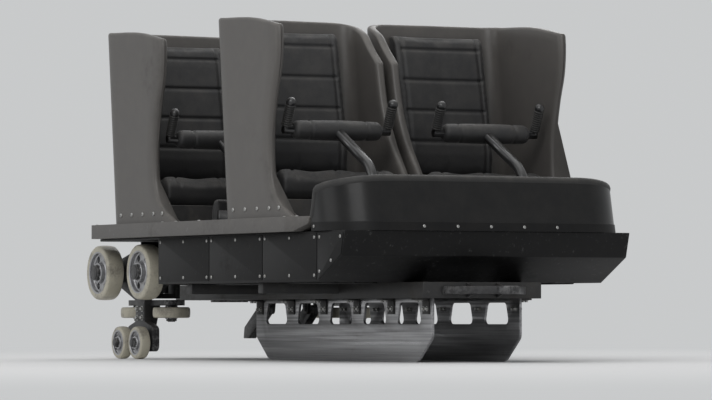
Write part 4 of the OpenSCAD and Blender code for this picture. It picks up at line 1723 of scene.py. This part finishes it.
@dataclass
class RunningGear:
    """Wheels with bonded treads, and the carriers that they turn on."""

    store: Store
    car: Car
    kinds: tuple[WheelKind, ...] = (
        WheelKind("road_wheel", bore=0.02505, boss=0.040, holes=6, way=RIGHT),
        WheelKind("guide_wheel", bore=0.01505, boss=0.027, holes=5, way=UP),
        WheelKind("up_stop", bore=0.01505, boss=0.026, holes=5, way=RIGHT),
    )
    plate_y: float = -0.495
    bolts: tuple[tuple[float, Pair], ...] = ((0.026, (0.300, 0.350)), (0.022, (0.165, 0.200)))
    nipple_x: float = 0.03
    nipple_z: float = 0.425

    def wheels(self) -> None:
        """Copies each kind of wheel to its four places."""
        for kind in self.kinds:
            parts = (("tread", kind.tread(), Paint.TREAD), ("hub", kind.hub(), Paint.HUB))
            for side, turn in SIDES:
                for end in ("front", "rear"):
                    put = turn @ aimed(self.car.joints[f"{kind.label}_right_{end}_spin"], kind.way)
                    wheel = f"{kind.label}_{side}_{end}"
                    for part, seed, paint in parts:
                        piece = copy_of(seed, f"{wheel}_{part}", put)
                        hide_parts(wheel)
                        self.store.dress(piece, paint, "wheel", f"{wheel}_body")
            discard(*(seed for _, seed, _ in parts))

    def carriers(self) -> None:
        """The carriers, with softened edges, plate bolts and grease nipples."""
        x, y = self.car.axle_x, self.plate_y
        bolt = bolt_seed("plate_bolt", radius=0.0085, height=0.008)
        heads = [aimed((x + s * a, y, z), RIGHT) for a, levels in self.bolts for s in (-1, 1) for z in levels]
        nipple = lathe("grease_nipple", [
            (0.0001, 0.0), (0.005, 0.0), (0.005, 0.004), (0.003, 0.006), (0.0025, 0.010), (0.0035, 0.012),
            (0.0001, 0.014),
        ], steps=12)
        tips = [aimed((x + s * self.nipple_x, y, self.nipple_z), RIGHT) for s in (-1, 1)]
        seed = joined("carrier_bolts_seed", [
            scattered("carrier_bolts_a", bolt, heads), scattered("carrier_bolts_b", nipple, tips),
        ])
        for side, turn in SIDES:
            node, body = f"carrier_{side}", f"carrier_{side}_body"
            self.store.solid(node, f"{node}_casting", 0.002, Paint.CAST, "cast_steel", body)
            self.store.dress(copy_of(seed, f"carrier_bolts_{side}", turn), Paint.ZINC, "cast_steel", body)
        discard(seed)

    def build(self) -> None:
        """Builds wheels and carriers."""
        self.wheels()
        self.carriers()


@dataclass
class Underframe:
    """Frame, axle beam, couplings, fins and pawls, with welds and bolts."""

    store: Store
    car: Car
    weld_x: tuple[float, ...] = (-1.03, -0.79, -0.73, -0.39, -0.33, 0.34, 0.40, 0.93)
    weld_y: float = 0.1695
    weld_radius: float = 0.0035
    beam_bolt_x: float = 0.03
    beam_bolt_y: Pair = (0.185, 0.235)
    beam_bolt_rise: float = 0.090
    fin_posts: tuple[float, ...] = (-0.440, -0.170, 0.100, 0.370, 0.640, 0.910)
    bracket_half: float = 0.024
    bracket_t: float = 0.006
    bracket_foot: float = 0.052
    bracket_leg: float = 0.058
    bracket_gap: float = 0.0002
    bracket_step: float = 0.001
    bolt_x: float = 0.013
    bolt_drop: float = 0.038
    foot_bolt_in: float = 0.034
    fin_t: float = 0.010

    def castings(self) -> None:
        """The welded and cast parts, with softened edges."""
        for node, paint, body, slot, edge in (
            ("frame", Paint.FRAME, "car_body", "black_steel", 0.003),
            ("axle_beam", Paint.FRAME, "car_body", "black_steel", 0.003),
            ("drawbar", Paint.CAST, "car_body", "cast_steel", 0.003),
            ("rear_coupling", Paint.CAST, "car_body", "cast_steel", 0.003),
            ("brake_fins", Paint.BARE, "car_body", "bare_steel", 0.001),
            ("chain_dog", Paint.CAST, "chain_dog_body", "cast_steel", 0.002),
            ("rollback_dog", Paint.CAST, "rollback_dog_body", "cast_steel", 0.002),
        ):
            self.store.solid(node, f"{node}_steel", edge, paint, slot, body)

    def welds(self) -> None:
        """Rippled beads where the faces of the cross tubes meet the long tubes."""
        low, high, points, ripple, turn = self.car.tube_low, self.car.frame_z, 25, 0.0006, 2.4
        beads = []
        for x in self.weld_x:
            for sign in (-1, 1):
                path = []
                for i in range(points):
                    wave = ripple * math.sin(i * turn)
                    z = low + (high - low) * i / (points - 1)
                    path.append((x + wave, sign * (self.weld_y + wave), z))
                beads.append(pipe(f"weld_{len(beads)}", path, self.weld_radius, sides=2))
        self.store.dress(joined("frame_welds", beads), Paint.FRAME, "black_steel")

    def nuts(self) -> None:
        """Kingpin nuts and the bolts that hold the beam."""
        x, top = self.car.axle_x, self.car.frame_z + self.beam_bolt_rise
        crown = [aimed((x, s * self.car.kingpin_y, self.car.beam_top), UP) for s in (-1, 1)]
        beam = [
            aimed((x + a, s * y, top), UP)
            for a in (-self.beam_bolt_x, self.beam_bolt_x) for y in self.beam_bolt_y for s in (-1, 1)
        ]
        pieces = [
            scattered("crown_nuts", bolt_seed("kingpin_nut", radius=0.024, height=0.020), crown),
            scattered("beam_bolts_top", bolt_seed("beam_bolt", radius=0.010, height=0.009), beam),
        ]
        self.store.dress(joined("beam_bolts", pieces), Paint.ZINC, "black_steel")

    def brackets(self) -> None:
        """Angle brackets that bolt the brake fins to the long tubes."""
        y, z, half = -self.car.fin_y, self.car.tube_low, self.bracket_half
        t, gap, drop = self.bracket_t, self.bracket_gap, self.bolt_drop
        foot = (-half, y - self.bracket_foot, z - t), (half, y - gap, z - gap)
        leg = (-half, y - t, z - self.bracket_leg), (half, y - gap, z - self.bracket_step)
        angle = joined("fin_bracket_seed", [
            block("bracket_foot", *foot, edge=0.001), block("bracket_leg", *leg, edge=0.001),
        ])
        bolt = bolt_seed("fin_bolt", radius=0.0065, height=0.006)
        faces = (
            ((y - t, z - drop), RIGHT),
            ((y - self.foot_bolt_in, z - t), (0, 0, -1)),
            ((y + self.fin_t, z - drop), (0, 1, 0)),
        )
        bolts = scattered("fin_bolts_seed", bolt, [
            aimed((s * self.bolt_x, *place), way) for place, way in faces for s in (-1, 1)
        ])
        spots = [turn @ Matrix.Translation((x, 0, 0)) for x in self.fin_posts for _, turn in SIDES]
        self.store.dress(scattered("fin_brackets", angle, spots), Paint.FRAME, "black_steel")
        self.store.dress(scattered("fin_bolts", bolts, spots), Paint.ZINC, "black_steel")

    def build(self) -> None:
        """Builds castings, welds, nuts and brackets."""
        self.castings()
        self.welds()
        self.nuts()
        self.brackets()


# Studio


@dataclass
class Studio:
    """Floor, lights and the camera at the photograph's angle."""

    azimuth: float = 62.0
    distance: float = 17.0
    camera_height: float = 0.16
    aim: Point = (0.0, 0.0, 0.62)
    lens: float = 222.0
    floor_colour: Point = (0.90, 0.90, 0.89)
    back_colour: Point = (0.58, 0.59, 0.595)
    sky_colour: Point = (0.93, 0.95, 1.0)
    sky_strength: float = 0.27
    fade: Pair = (1.5, 7.5)
    floor_size: float = 160.0
    floor_drop: float = 0.0005
    lamp_aim: Point = (0.0, 0.0, 0.6)
    lamps: tuple[tuple[str, Point, float, float], ...] = (
        ("key", (7.5, -6.5, 7.0), 6.0, 380.0), ("fill", (-2.0, -9.0, 4.0), 6.0, 110.0),
        ("back", (-6.0, 6.0, 6.5), 5.0, 190.0), ("top", (0.0, 0.0, 9.0), 8.0, 190.0),
    )

    def camera(self) -> None:
        """A long lens at floor level, from the front and the riders' right."""
        turn = math.radians(self.azimuth)
        place = Vector((self.distance * math.sin(turn), -self.distance * math.cos(turn), self.camera_height))
        bpy.ops.object.camera_add(location=place)
        camera = bpy.context.active_object
        camera.name = "camera"
        camera.rotation_euler = (Vector(self.aim) - place).to_track_quat("-Z", "Y").to_euler()
        camera.data.lens = self.lens
        camera.data.clip_end = 200.0
        bpy.context.scene.camera = camera

    def floor(self) -> None:
        """A plain pale floor that fades into the background far from the car."""
        bpy.ops.mesh.primitive_plane_add(size=self.floor_size, location=(0, 0, -self.floor_drop))
        floor = bpy.context.active_object
        floor.name = "floor"
        material = bpy.data.materials.new("floor_pale")
        material.use_nodes = True
        desk = Desk(material.node_tree)
        near = desk.node("ShaderNodeBsdfPrincipled", Roughness=0.9, Base_Color=(*self.floor_colour, 1))
        far = desk.node("ShaderNodeEmission", Color=(*self.back_colour, 1), Strength=1.0)
        place = desk.node("ShaderNodeTexCoord").outputs["Object"]
        reach = desk.chain("ShaderNodeVectorMath", (place,), _operation="LENGTH").outputs["Value"]
        amount = desk.mul(desk.ramp(reach, *self.fade), desk.shown())
        mixed = desk.between(amount, near.outputs[0], far.outputs[0])
        desk.node("ShaderNodeOutputMaterial", Surface=mixed)
        floor.data.materials.append(material)

    def lamp(self, name: str, place: Point, size: float, power: float) -> None:
        """A soft square lamp that looks at the car.

        Args:
            name: its name.
            place: where it hangs.
            size: the length of its sides.
            power: in watts.
        """
        bpy.ops.object.light_add(type="AREA", location=place)
        lamp = bpy.context.active_object
        lamp.name = name
        lamp.data.shape = "SQUARE"
        lamp.data.size = size
        lamp.data.energy = power
        lamp.rotation_euler = (Vector(self.lamp_aim) - Vector(place)).to_track_quat("-Z", "Y").to_euler()

    def world(self) -> None:
        """Even light, and a pale background for the camera and in reflections."""
        world = bpy.data.worlds.new("sky")
        world.use_nodes = True
        bpy.context.scene.world = world
        desk = Desk(world.node_tree)
        light = desk.node("ShaderNodeBackground", Color=(*self.sky_colour, 1), Strength=self.sky_strength)
        back = desk.node("ShaderNodeBackground", Color=(*self.back_colour, 1), Strength=1.0)
        mixed = desk.between(desk.shown(), light.outputs[0], back.outputs[0])
        desk.node("ShaderNodeOutputWorld", Surface=mixed)

    def build(self) -> None:
        """Sets the view, the floor, the lamps and the sky."""
        bpy.context.scene.view_settings.view_transform = "Standard"
        self.camera()
        self.floor()
        for lamp in self.lamps:
            self.lamp(*lamp)
        self.world()


def main() -> None:
    """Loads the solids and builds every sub-assembly in order."""
    logging.basicConfig(level=logging.INFO, format="%(name)s: %(message)s")
    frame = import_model()
    Studio().build()
    store, car = Store(frame["nodes"]), Car(frame["joints"])
    for assembly in (SeatShells, SeatCushions, Tub, LapBars, RunningGear, Underframe):
        assembly(store, car).build()
        LOG.info("%s done", assembly.__name__)


if __name__ == "__main__":
    main()
